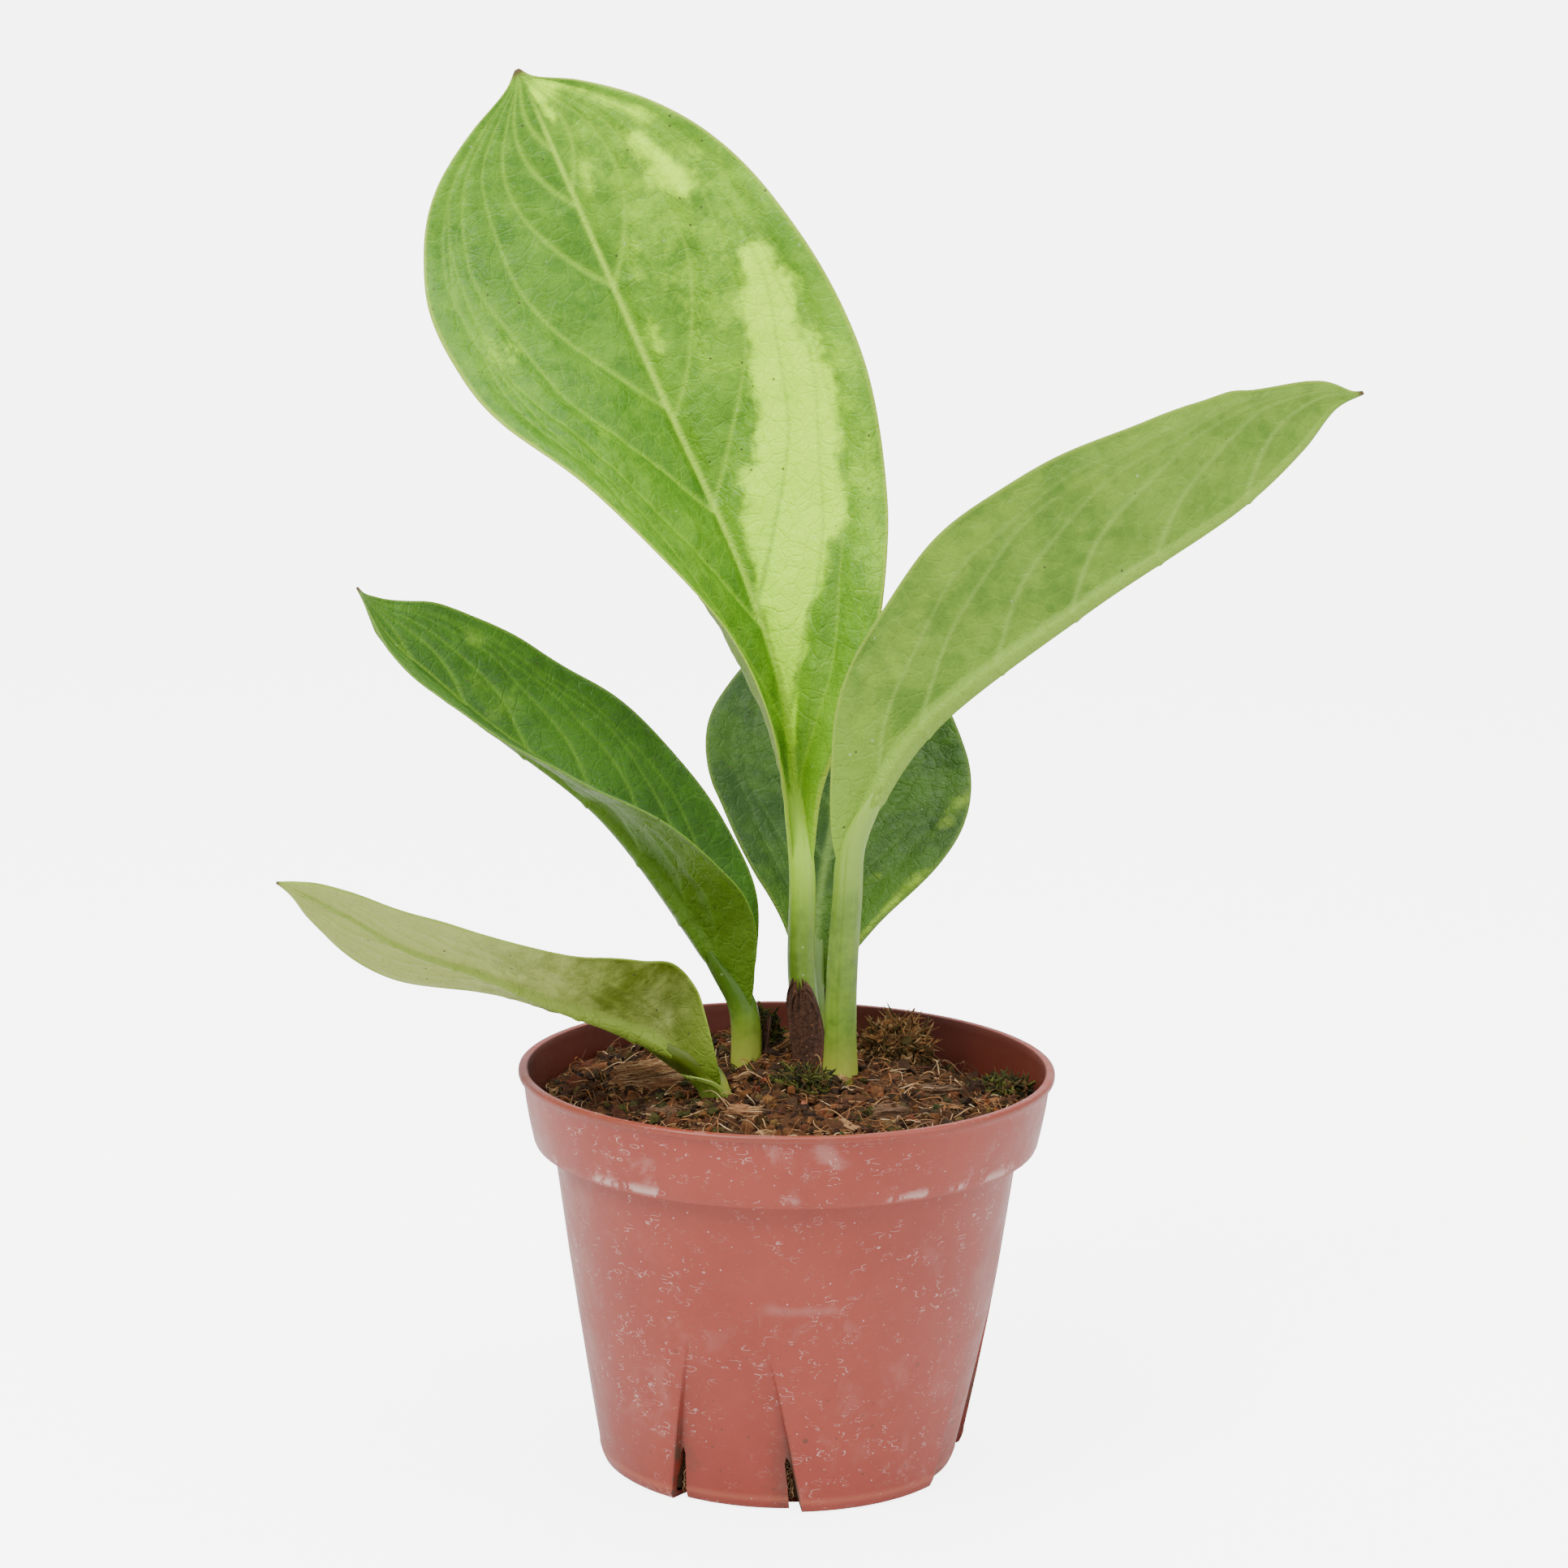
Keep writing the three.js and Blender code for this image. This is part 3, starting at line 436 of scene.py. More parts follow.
class Effects:
    """The effects that several finishes share, each a node group built once."""

    def __init__(self) -> None:
        """Builds every group."""
        self.mottle = self._mottle()
        self.specks = self._specks()
        self.net = self._net()
        self.squiggles = self._squiggles()
        self.grain = self._grain()

    def _mottle(self) -> NodeTree:
        """Returns soft blotches of two sizes, as a mask."""
        tree, n, start, end = new_group(
            "soft_mottle", {"Vector": ("Vector", None), "Size": ("Float", 60.0)},
            {"Mask": "Float", "Fine": "Float"})
        where, size = start.outputs["Vector"], start.outputs["Size"]
        broad = n.noise(where, size, 4.0, 0.6)
        fine = n.noise(where, n.times(size, 4.7), 3.0, 0.6)
        both = n.plus(n.times(broad, 0.65), n.times(fine, 0.35))
        n.feed(end.inputs["Mask"], n.ramp(both, 0.36, 0.64))
        n.feed(end.inputs["Fine"], n.ramp(fine, 0.3, 0.7))
        return tree

    def _specks(self) -> NodeTree:
        """Returns small round specks scattered thinly, as a mask."""
        tree, n, start, end = new_group(
            "thin_specks",
            {"Vector": ("Vector", None), "Size": ("Float", 400.0), "Reach": ("Float", 0.12),
             "Share": ("Float", 0.3)},
            {"Mask": "Float"})
        cell = n.add("TexVoronoi", Vector=start.outputs["Vector"], Scale=start.outputs["Size"],
                     Randomness=1.0)
        near = n.math("LESS_THAN", cell.outputs["Distance"], start.outputs["Reach"])
        parts = n.add("SeparateColor", Color=cell.outputs["Color"])
        chosen = n.math("LESS_THAN", parts.outputs[0], start.outputs["Share"])
        n.feed(end.inputs["Mask"], n.times(near, chosen))
        return tree

    def _squiggles(self) -> NodeTree:
        """Returns short curved scratches that lie mostly level, as a mask."""
        tree, n, start, end = new_group(
            "short_scratches", {"Vector": ("Vector", None), "Size": ("Float", 260.0)}, {"Mask": "Float"})
        vector, size = start.outputs["Vector"], start.outputs["Size"]
        cell = n.add("TexVoronoi", {"feature": "SMOOTH_F1"}, Vector=n.stretched(vector, (1.0, 1.0, 2.6)),
                     Scale=size, Smoothness=0.25)
        ring = n.math("ABSOLUTE", n.math("SUBTRACT", cell.outputs["Distance"], 0.42))
        line = n.ramp(ring, 0.01, 0.035, 1.0, 0.0)
        piece = n.ramp(n.noise(vector, size, 2.0, 0.5), 0.575, 0.62)
        where = n.ramp(n.noise(vector, 45.0, 2.0, 0.5), 0.4, 0.58, 0.15, 1.0)
        n.feed(end.inputs["Mask"], n.times(n.times(line, piece), where))
        return tree

    def _net(self) -> NodeTree:
        """Returns a fine net of small veins, as a mask."""
        tree, n, start, end = new_group(
            "vein_net", {"Vector": ("Vector", None), "Size": ("Float", 300.0), "Width": ("Float", 0.08)},
            {"Mask": "Float"})
        bend = n.add("TexNoise", Vector=start.outputs["Vector"], Scale=90.0, Detail=2.0)
        offset = n.add("VectorMath", {"operation": "SCALE"}, Scale=0.004)
        n.feed(offset.inputs[0], bend.outputs["Color"])
        moved = n.add("VectorMath", {"operation": "ADD"})
        n.feed(moved.inputs[0], start.outputs["Vector"])
        n.feed(moved.inputs[1], offset.outputs["Vector"])
        cell = n.add("TexVoronoi", {"feature": "DISTANCE_TO_EDGE"}, Vector=moved.outputs["Vector"],
                     Scale=start.outputs["Size"])
        n.feed(end.inputs["Mask"], n.ramp(cell.outputs["Distance"], 0.0, start.outputs["Width"], 1.0, 0.0))
        return tree

    def _grain(self) -> NodeTree:
        """Returns uneven streaks along one way, as a mask."""
        tree, n, start, end = new_group(
            "fibre_grain", {"Vector": ("Vector", None), "Size": ("Float", 500.0)}, {"Mask": "Float"})
        streak = n.noise(start.outputs["Vector"], start.outputs["Size"], 5.0, 0.7, 0.4)
        n.feed(end.inputs["Mask"], n.ramp(streak, 0.3, 0.72))
        return tree


def new_material(name: str) -> tuple[Material, Nodes, Node]:
    """Starts a material.

    Args:
        name: the material's name.

    Returns:
        The material, its node builder and its Principled node.
    """
    material = bpy.data.materials.new(name)
    material.use_nodes = True
    shader = material.node_tree.nodes["Principled BSDF"]
    return material, Nodes(material.node_tree), shader


def object_coordinates(n: Nodes) -> NodeSocket:
    """Returns the piece's own Object coordinates."""
    return n.add("TexCoord").outputs["Object"]


def bump(n: Nodes, shader: Node, height: NodeSocket, strength: float,
         distance: float) -> None:
    """Roughens a shader's surface by a height.

    Args:
        n: the material's builder.
        shader: the Principled node.
        height: the height's socket.
        strength: share of the full effect.
        distance: height of the relief in metres.
    """
    node = n.add("Bump", Height=height, Strength=strength, Distance=distance)
    n.feed(shader.inputs["Normal"], node.outputs["Normal"])


# ---------------- finishes


@dataclass(frozen=True)
class LeafFinish:
    """The colours of one leaf, from the blade's shaded tissue to its lit margin."""

    name: str
    deep: Color
    # the lighter green, used both for the leaf's own lighter tissue and where the blade is painted lighter as
    # painted light
    fresh_and_lit: Color
    pale: Color
    vein: Color
    rib: Color
    under: Color
    under_fresh: Color
    edge: Color
    gloss: float = 0.38
    mottling: float = 0.25
    glow: float = 0.12

    def make(self, effects: Effects) -> Material:
        """Builds the leaf's material.

        Args:
            effects: the shared groups.

        Returns:
            The material.
        """
        material, n, shader = new_material(self.name)
        where = object_coordinates(n)
        broad = n.group(effects.mottle, Vector=where, Size=55.0)
        patchy = n.group(effects.mottle, Vector=where, Size=170.0)
        net = n.mask(effects.net, Vector=where, Size=260.0, Width=0.09)
        fine_net = n.mask(effects.net, Vector=where, Size=700.0, Width=0.14)
        dots = n.mask(effects.specks, Vector=where, Size=230.0, Reach=0.075, Share=0.22)
        marks = n.mask(effects.specks, Vector=where, Size=420.0, Reach=0.13, Share=0.07)
        below = n.attribute("under")
        fleck = n.math("SUBTRACT", patchy.outputs["Mask"], 0.5)
        # pale patches: partly the leaf's own pale tissue, partly painted sheen
        flecked = n.plus(n.attribute("pale"), n.times(fleck, 0.22))
        lit = n.ramp(flecked, 0.12, 0.88)
        loose = n.math("SUBTRACT", broad.outputs["Mask"], 0.5)
        # share of the lighter green: partly the leaf's own tone, partly painted light (a lit base and, on the
        # low leaf, a painted sheen towards the tip)
        fresh_and_lit_share = n.plus(n.attribute("fresh_and_lit"), n.times(loose, 0.6))
        fresh_and_lit_share = n.ramp(fresh_and_lit_share, 0.0, 1.0)
        upper = n.blend(fresh_and_lit_share, self.deep, self.fresh_and_lit)
        upper = n.blend(n.times(patchy.outputs["Mask"], self.mottling), upper, self.fresh_and_lit)
        upper = n.blend(lit, upper, self.pale)
        lower = n.blend(fresh_and_lit_share, self.under, self.under_fresh)
        lower = n.blend(n.times(lit, 0.5), lower, self.pale)
        color = n.blend(below, upper, lower)
        net_share = n.plus(n.times(net, 0.09),
                           n.times(fine_net, 0.04))
        color = n.blend(net_share, color, self.vein)
        color = n.blend(n.attribute("vein"), color, self.vein)
        color = n.blend(n.attribute("rib"), color, self.rib)
        # painted highlight: the margin is painted lighter where it catches the light
        color = n.blend(n.times(n.attribute("edge"), 0.85), color, self.edge)
        color = n.blend(n.times(dots, 0.3), color, (0.5, 0.6, 0.35))
        color = n.blend(n.times(marks, 0.8), color, (0.06, 0.05, 0.02))
        color = n.blend(n.attribute("tip"), color, (0.09, 0.05, 0.025))
        n.feed(shader.inputs["Base Color"], color)
        rough = n.plus(self.gloss, n.times(patchy.outputs["Mask"], 0.12))
        n.feed(shader.inputs["Roughness"], n.plus(rough, n.times(below, 0.12)))
        n.fill(shader, Specular_IOR_Level=0.24, Subsurface_Weight=self.glow,
               Subsurface_Radius=(0.5, 1.0, 0.2), Subsurface_Scale=0.0015)
        height = n.plus(n.times(net, -0.5),
                        n.times(fine_net, -0.25))
        height = n.plus(height, n.times(patchy.outputs["Fine"], 0.5))
        bump(n, shader, height, 0.6, 0.00035)
        return material


@dataclass(frozen=True)
class StalkFinish:
    """The colours of a petiole, yellower at its foot."""

    name: str
    green: Color
    light: Color
    foot: Color
    top: Color

    def make(self, effects: Effects) -> Material:
        """Builds the petiole's material.

        Args:
            effects: the shared groups.

        Returns:
            The material.
        """
        material, n, shader = new_material(self.name)
        where = object_coordinates(n)
        long_way = n.stretched(where, (1.0, 1.0, 0.12))
        streak = n.mask(effects.grain, Vector=long_way, Size=900.0)
        mottle = n.group(effects.mottle, Vector=where, Size=120.0)
        dots = n.mask(effects.specks, Vector=where, Size=330.0, Reach=0.1, Share=0.2)
        color = n.blend(mottle.outputs["Mask"], self.green, self.light)
        color = n.blend(n.times(streak, 0.35), color, self.light)
        color = n.blend(n.attribute("foot"), color, self.foot)
        color = n.blend(n.attribute("high"), color, self.top)
        color = n.blend(n.times(dots, 0.35), color, (0.5, 0.58, 0.3))
        n.feed(shader.inputs["Base Color"], color)
        n.feed(shader.inputs["Roughness"], n.plus(0.36, n.times(mottle.outputs["Fine"], 0.14)))
        n.fill(shader, Subsurface_Weight=0.15, Subsurface_Radius=(0.6, 1.0, 0.3), Subsurface_Scale=0.002)
        bump(n, shader, streak, 0.35, 0.0002)
        return material


@dataclass(frozen=True)
class PotFinish:
    """Moulded terracotta-coloured plastic, scuffed, lime stained and dusty at the foot, with painted shade
    inside the wall and beside the panel steps.
    """

    name: str = "pot_plastic"
    body: Color = (0.25, 0.034, 0.02)
    light: Color = (0.285, 0.044, 0.027)
    lip: Color = (0.2, 0.045, 0.027)
    # a darker copy of the plastic for the inside wall: painted shade
    inside: Color = (0.11, 0.018, 0.008)
    lime: Color = (0.6, 0.42, 0.38)
    dirt: Color = (0.07, 0.035, 0.02)

    def make(self, effects: Effects) -> Material:
        """Builds the pot's material.

        Args:
            effects: the shared groups.

        Returns:
            The material.
        """
        material, n, shader = new_material(self.name)
        where = object_coordinates(n)
        height = n.add("SeparateXYZ", Vector=where).outputs["Z"]
        mottle = n.group(effects.mottle, Vector=where, Size=26.0)
        cluster = n.noise(where, 38.0, 3.0)
        stain_way = n.stretched(where, (1.0, 1.0, 0.8))
        stain = n.noise(stain_way, 95.0, 6.0, 0.7, 0.6)
        squiggles = n.mask(effects.squiggles, Vector=where, Size=270.0)
        fine_squiggles = n.mask(effects.squiggles, Vector=where, Size=460.0)
        white = n.mask(effects.specks, Vector=where, Size=420.0, Reach=0.075, Share=0.35)
        mud = n.mask(effects.specks, Vector=where, Size=210.0, Reach=0.13, Share=0.16)
        mud_fine = n.mask(effects.specks, Vector=where, Size=520.0, Reach=0.16, Share=0.2)
        inner = n.attribute("inner")
        color = n.blend(mottle.outputs["Mask"], self.body, self.light)
        band = n.ramp(height, 0.070, 0.076)
        foot = n.times(n.ramp(height, 0.0735, 0.0745), n.ramp(height, 0.0744, 0.0768, 1.0, 0.0))
        lime_share = n.times(n.ramp(stain, 0.5, 0.62), n.ramp(cluster, 0.48, 0.6))
        lime_share = n.times(lime_share, n.plus(n.times(band, 0.14), 0.07))
        crust = n.times(n.ramp(stain, 0.46, 0.54), n.ramp(cluster, 0.5, 0.56))
        lime_share = n.math("MAXIMUM", lime_share, n.times(n.times(crust, foot), 0.7))
        scuff_line = n.times(n.ramp(height, 0.0465, 0.049), n.ramp(height, 0.0495, 0.0525, 1.0, 0.0))
        scuff_line = n.times(scuff_line, n.ramp(cluster, 0.5, 0.6))
        lime_share = n.math("MAXIMUM", lime_share, n.times(scuff_line, 0.14))
        color = n.blend(lime_share, color, self.lime)
        marks = n.times(squiggles, 0.6)
        scratch = n.math("MAXIMUM", marks, n.times(fine_squiggles, 0.5))
        color = n.blend(scratch, color, self.lime)
        color = n.blend(n.times(white, 0.7), color, (0.6, 0.45, 0.4))
        low = n.ramp(height, 0.0, 0.06, 1.0, 0.12)
        dirt_share = n.times(n.plus(mud, mud_fine), low)
        color = n.blend(n.times(dirt_share, 0.8), color, self.dirt)
        # painted shade: the plastic is darkened just inside each pressed panel's step, where the step's
        # shadow falls
        step_shade = n.attribute("step_shade")
        color = n.blend(n.times(step_shade, 0.6), color, (0.075, 0.012, 0.007))
        near_foot = n.ramp(height, 0.0, 0.026, 1.0, 0.0)
        grime = n.times(n.times(step_shade, n.ramp(stain, 0.48, 0.56)), near_foot)
        color = n.blend(n.times(grime, 1.6), color, self.dirt)
        color = n.blend(n.times(n.attribute("seam"), 0.45), color, (0.45, 0.13, 0.07))
        worn = n.ramp(cluster, 0.35, 0.65, 0.35, 0.9)
        color = n.blend(n.times(n.attribute("lip"), worn), color, self.lip)
        # painted shade: the inside wall takes the darker copy of the plastic's colour
        color = n.blend(inner, color, self.inside)
        n.feed(shader.inputs["Base Color"], color)
        rough = n.plus(0.3, n.times(mottle.outputs["Fine"], 0.12))
        rough = n.plus(rough, n.times(lime_share, 0.8))
        n.feed(shader.inputs["Roughness"], n.plus(rough, n.times(inner, 0.15)))
        shader.inputs["Specular IOR Level"].default_value = 0.4
        fine = n.noise(where, 1500.0, 3.0, 0.6)
        relief = n.plus(n.times(fine, 0.35), scratch)
        bump(n, shader, relief, 0.25, 0.00012)
        return material


@dataclass(frozen=True)
class TintedFinish:
    """Loose natural matter: each grain brings its own colour in the tint attribute."""

    name: str
    shade: Color
    light: Color
    size: float = 700.0
    rough: float = 0.85
    relief: float = 0.0004

    def make(self, effects: Effects) -> Material:
        """Builds the material.

        Args:
            effects: the shared groups.

        Returns:
            The material.
        """
        material, n, shader = new_material(self.name)
        where = object_coordinates(n)
        tint = n.add("Attribute", {"attribute_name": "tint"}).outputs["Color"]
        mottle = n.group(effects.mottle, Vector=where, Size=self.size)
        grain = n.mask(effects.grain, Vector=where, Size=self.size * 2.5)
        bits = n.mask(effects.specks, Vector=where, Size=self.size * 1.6, Reach=0.22, Share=0.12)
        color = n.blend(n.times(mottle.outputs["Mask"], 0.55), tint, self.shade, "MULTIPLY")
        color = n.blend(n.times(grain, 0.1), color, self.light)
        color = n.blend(n.times(bits, 0.35), color, self.light)
        n.feed(shader.inputs["Base Color"], color)
        n.feed(shader.inputs["Roughness"],
               n.plus(self.rough - 0.1, n.times(mottle.outputs["Fine"], 0.2)))
        shader.inputs["Specular IOR Level"].default_value = 0.2
        height = n.plus(mottle.outputs["Fine"], grain)
        bump(n, shader, height, 0.6, self.relief)
        return material


@dataclass(frozen=True)
class HuskFinish:
    """Dry plant fibre with a grain: husk, bark, sheaths and the rootstock."""

    name: str
    dark: Color
    light: Color
    fleck: Color
    grain_scale: tuple[float, float, float] = (0.15, 1.0, 1.0)
    rough: float = 0.8

    def make(self, effects: Effects) -> Material:
        """Builds the material.

        Args:
            effects: the shared groups.

        Returns:
            The material.
        """
        material, n, shader = new_material(self.name)
        where = object_coordinates(n)
        long_way = n.stretched(where, self.grain_scale)
        grain = n.mask(effects.grain, Vector=long_way, Size=1500.0)
        mottle = n.group(effects.mottle, Vector=where, Size=200.0)
        bits = n.mask(effects.specks, Vector=where, Size=900.0, Reach=0.2, Share=0.15)
        color = n.blend(grain, self.dark, self.light)
        color = n.blend(n.times(mottle.outputs["Mask"], 0.4), color, self.dark)
        color = n.blend(n.times(bits, 0.7), color, self.fleck)
        n.feed(shader.inputs["Base Color"], color)
        n.feed(shader.inputs["Roughness"],
               n.plus(self.rough - 0.1, n.times(mottle.outputs["Fine"], 0.2)))
        height = n.plus(n.times(grain, 1.0), mottle.outputs["Fine"])
        bump(n, shader, height, 0.7, 0.0005)
        return material


# ---------------- leaves

STATIONS = (0, 0.12, 0.25, 0.4, 0.55, 0.7, 0.82, 0.91, 0.96, 0.985, 1)
FLAT = (0,) * len(STATIONS)
FEW_VEINS = ((0.1, 0.9), (0.22, 0.9), (0.36, 0.88), (0.49, 0.86), (0.63, 0.82), (0.78, 0.7))


@dataclass(frozen=True)
class Half:
    """One half of a blade, at STATIONS: shares of the half width, and folds and curls in degrees.

    Each of `veins` leaves the midrib at a share of the length and settles at a share of the width.
    """

    width: Sequence[float]
    fold: Sequence[float]
    curl: Sequence[float] = FLAT
    veins: Sequence[tuple[float, float]] = ((0.05, 0.86), (0.17, 0.85), (0.3, 0.82), (0.44, 0.78),
                                            (0.58, 0.62), (0.72, 0.52), (0.84, 0.45))


@dataclass(frozen=True)
class Patch:
    """A pale patch, partly the leaf's own pale tissue and partly painted sheen: a line of (across, along,
    radius in mm) places on the blade.
    """

    line: Sequence[tuple[float, float, float]]
    strength: float = 1.0


@dataclass
class Leaf:
    """A leaf: its petiole, and a blade with midrib, side veins, quilting and margins."""

    name: str
    length: float
    half_width: float
    petiole: float
    thickness: float
    root: tuple[float, float]
    path: Sequence[tuple[float, float, float]]
    blade_start: float
    facing: Sequence[tuple[float, float, float]]
    left: Half
    right: Half
    finish: LeafFinish
    slot: str
    # left and right shares of the lighter green and its gain along the blade: partly the leaf's own tone,
    # partly painted light
    fresh_and_lit: tuple[float, float, float] = (0.5, 0.5, 0.0)
    vein_contrast: float = 0.6
    patches: Sequence[Patch] = ()
    wave: float = 1.0
    columns: int = 130
    rows: int = 300
    seed: float = 1.0
    quilting: float = 0.6
    spine: Spine = field(init=False)

    def __post_init__(self) -> None:
        """Lays the midrib line from the petiole's foot, found from the frame."""
        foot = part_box(self.name + "_petiole")[0].z / MM
        self.spine = Spine(self.path, (*self.root, foot), self.length)

    @property
    def blade_length(self) -> float:
        """Returns the blade's part of the leaf's length."""
        return self.length * (1 - self.blade_start)

    def axes(self, t: Array) -> tuple[Array, Array, Array, Array]:
        """The frame along the blade.

        Args:
            t: shares of the blade, from its base to its tip.

        Returns:
            Centres, directions along, up (the upper face) and across (to the right).
        """
        share = self.blade_start + (1 - self.blade_start) * t
        along = self.spine.along(share)
        places = np.linspace(0, 1, len(self.facing))
        up = np.stack([between(places, [f[k] for f in self.facing], t) for k in range(3)], axis=-1)
        up = square_to(up, along)
        return self.spine.at(share), along, up, np.cross(along, up)

    def half_value(self, name: str, t: Array, right: Array) -> Array:
        """Returns a Half's station values at t, from the right half where wanted."""
        left_value = between(STATIONS, getattr(self.left, name), t)
        return np.where(right, between(STATIONS, getattr(self.right, name), t), left_value)

    def width(self, t: Array, right: Array) -> Array:
        """Returns a half's width; below the blade it runs out down the petiole."""
        step = 0.01
        base = self.half_value("width", t * 0, right)
        slope = (self.half_value("width", t * 0 + step, right) - base) / step
        share = self.half_value("width", t, right) + np.minimum(t, 0) * slope
        return np.maximum(self.half_width * share, 0.3)

    def run_down(self) -> float:
        """Returns how far below the blade its wings start, as a negative share of the blade."""
        ends = []
        for half in (self.left, self.right):
            slope = (half.width[1] - half.width[0]) / STATIONS[1]
            ends.append(half.width[0] / max(slope, 0.5))
        room = (self.blade_start * self.length - 5) / self.blade_length
        return -min(max(ends), room)

    def rib_radius(self, t: Array) -> Array:
        """Returns the radius of the midrib, which carries the petiole on into the blade."""
        return self.petiole / 2 * 0.92 * (1 - np.clip(t, 0, 1)) ** 1.25 + 0.25 * np.clip(t, 0, 1)

    def surface(self, u: Array, t: Array) -> Array:
        """The blade's middle surface.

        Args:
            u: places across, -1 at the left margin and 1 at the right.
            t: places along, 0 at the base and 1 at the tip.

        Returns:
            Points in millimetres.
        """
        t = np.minimum(t, 1)
        right = u >= 0
        width = self.width(t, right)
        fold = np.radians(self.half_value("fold", t, right))
        bend = np.radians(self.half_value("curl", t, right))
        curl = np.where(np.abs(bend) < 0.009, 0.009, bend)
        a = np.abs(u)
        out = width * (np.sin(fold + curl * a) - np.sin(fold)) / curl
        lift = -width * (np.cos(fold + curl * a) - np.cos(fold)) / curl
        side = np.where(right, 1.7, 0.0)
        ripple = np.sin(t * 17 + side * 2 + self.seed) + 0.6 * np.sin(t * 31 + side * 5 + self.seed * 3)
        lift = lift + self.wave * a ** 2.2 * ripple * smoothstep(0.02, 0.2, t) * smoothstep(1.0, 0.9, t)
        rib = self.rib_radius(t)
        lift = lift - 0.78 * rib * smoothstep(0.24, 0.0, t) * smoothstep(0, 1.1, a * width / rib)
        centre, _, up, across = self.axes(t)
        return centre + (np.sign(u) * out)[:, None] * across + lift[:, None] * up

    def normals(self, u: Array, t: Array) -> Array:
        """Returns the upper face's directions, rounded over the midrib."""
        du, dt = 0.03, 0.006
        over = self.surface(np.minimum(u + du, 1), t) - self.surface(np.maximum(u - du, -1), t)
        on = self.surface(u, np.minimum(t + dt, 1)) - self.surface(u, t - dt)
        return unit(np.cross(on, over) * -1)

    def vein_fields(self, u: Array, t: Array) -> tuple[Array, Array]:
        """Where the side veins run.

        Args:
            u: places across.
            t: places along.

        Returns:
            The veins' strength, and the distance to the nearest one in millimetres.
        """
        a = np.abs(u)
        right = u >= 0
        blade = self.blade_length
        width = np.maximum(self.width(t, right), 0.5)
        strength = np.zeros_like(a)
        nearest = np.full_like(a, 99.0)
        for is_right, half in ((False, self.left), (True, self.right)):
            for k, (start, settle) in enumerate(half.veins):
                past = np.maximum(t - start, 0)
                reach = settle / 4.6
                line = settle * (1 - np.exp(-past / reach)) * (1 - 0.25 * smoothstep(0.9, 1.02, t))
                line = line + 0.014 * np.sin(t * 31 + k * 2.3 + self.seed) * np.minimum(past * 12, 1)
                slope = settle / reach * np.exp(-past / reach) * width / blade
                distance = np.abs(a - line) * width / np.sqrt(1 + slope ** 2)
                here = (right == is_right) & (t > start)
                distance = np.where(here, distance, 99.0)
                thick = 0.34 + 0.34 * np.exp(-past / 0.16)
                fade = 0.34 + 0.66 * np.exp(-past / 0.24)
                strength = np.maximum(strength, fade * np.exp(-(distance / thick) ** 2))
                nearest = np.minimum(nearest, distance)
        return strength, nearest

    def pale_field(self, u: Array, t: Array) -> Array:
        """Returns how pale the blade is at each place, from its patches of pale tissue and painted sheen."""
        blade = self.blade_length
        width = np.maximum(self.width(t, u >= 0), 0.5)
        value = np.zeros_like(u)
        spots = np.stack([u * width, t * blade, np.zeros_like(u)], axis=-1)
        edge = fractal(spots, 0.11, 3, self.seed) * 2.8 + fractal(spots, 0.45, 2, self.seed + 4) * 1.0
        for patch in self.patches:
            line = np.array(patch.line if len(patch.line) > 1 else list(patch.line) * 2, float)
            for (u0, t0, r0), (u1, t1, r1) in zip(line, line[1:]):
                start = np.array([u0, t0 * blade])
                step = np.array([u1, t1 * blade]) - start
                lengths = np.array([self.half_width * 0.85, 1.0])
                here = (np.stack([u, t * blade], axis=-1) - start) * lengths
                way = step * lengths
                share = np.clip((here @ way) / max(way @ way, 1e-9), 0, 1)
                gap = np.linalg.norm(here - share[:, None] * way, axis=1)
                radius = r0 + (r1 - r0) * share + edge
                value = np.maximum(value, patch.strength * smoothstep(3.4, -3.4, gap - radius))
        return value

    def build_blade(self, effects: Effects) -> Object:
        """Builds and dresses the blade.

        Args:
            effects: the shared groups.

        Returns:
            The blade.
        """
        bm = parameter_slab(self.columns, self.rows)
        grid = vert_array(bm)
        start = self.run_down()
        u, t, lower = grid[:, 0] * 2 - 1, start + (1 - start) * grid[:, 1], grid[:, 2] < -0.5
        a = np.abs(u)
        blade = self.blade_length
        width = self.width(t, u >= 0)
        across = a * width
        strength, nearest = self.vein_fields(u, t)
        rib_radius = self.rib_radius(t)
        keel = np.sqrt(np.maximum(1 - (across / rib_radius) ** 2, 0)) * rib_radius
        ridge = keel * (0.16 + 0.66 * smoothstep(0.12, 0.0, t))
        keel = keel * smoothstep(-0.02, 0.12, t)
        pillow = self.quilting * (1 - np.exp(-(nearest / 3.2) ** 2)) * smoothstep(0, 4, across)
        flat = np.stack([u * width, t * blade, t * 0], axis=-1)
        fine = fractal(flat, 0.1, 3, self.seed) * 0.45 + fractal(flat, 0.33, 2, self.seed) * 0.16
        fine = fine * smoothstep(0, 5, across)
        settled = smoothstep(0.0, 0.15, t) * smoothstep(1.0, 0.93, t) * smoothstep(1.02, 0.9, a)
        height = (pillow + fine) * settled
        thin = (0.62 - 0.22 * smoothstep(0.8, 1.0, a)) * (0.5 + 0.5 * smoothstep(1.0, 0.94, t))
        thick = self.thickness * thin * (0.4 + 0.6 * smoothstep(start, 0.05, t))
        top = height + ridge - 0.3 * strength * settled
        bottom = height - thick - keel * 0.9 - 0.28 * strength * settled
        normal = self.normals(u, t)
        move_verts(bm, self.surface(u, t) + np.where(lower, bottom, top)[:, None] * normal)
        face_outwards(bm)
        mesh = to_mesh(bm, self.name + "_blade_mesh")
        reach = rib_radius * np.where(lower, 1.0, 0.45) + 0.4
        rib = np.exp(-(across / reach) ** 4) * smoothstep(1.0, 0.9, t)
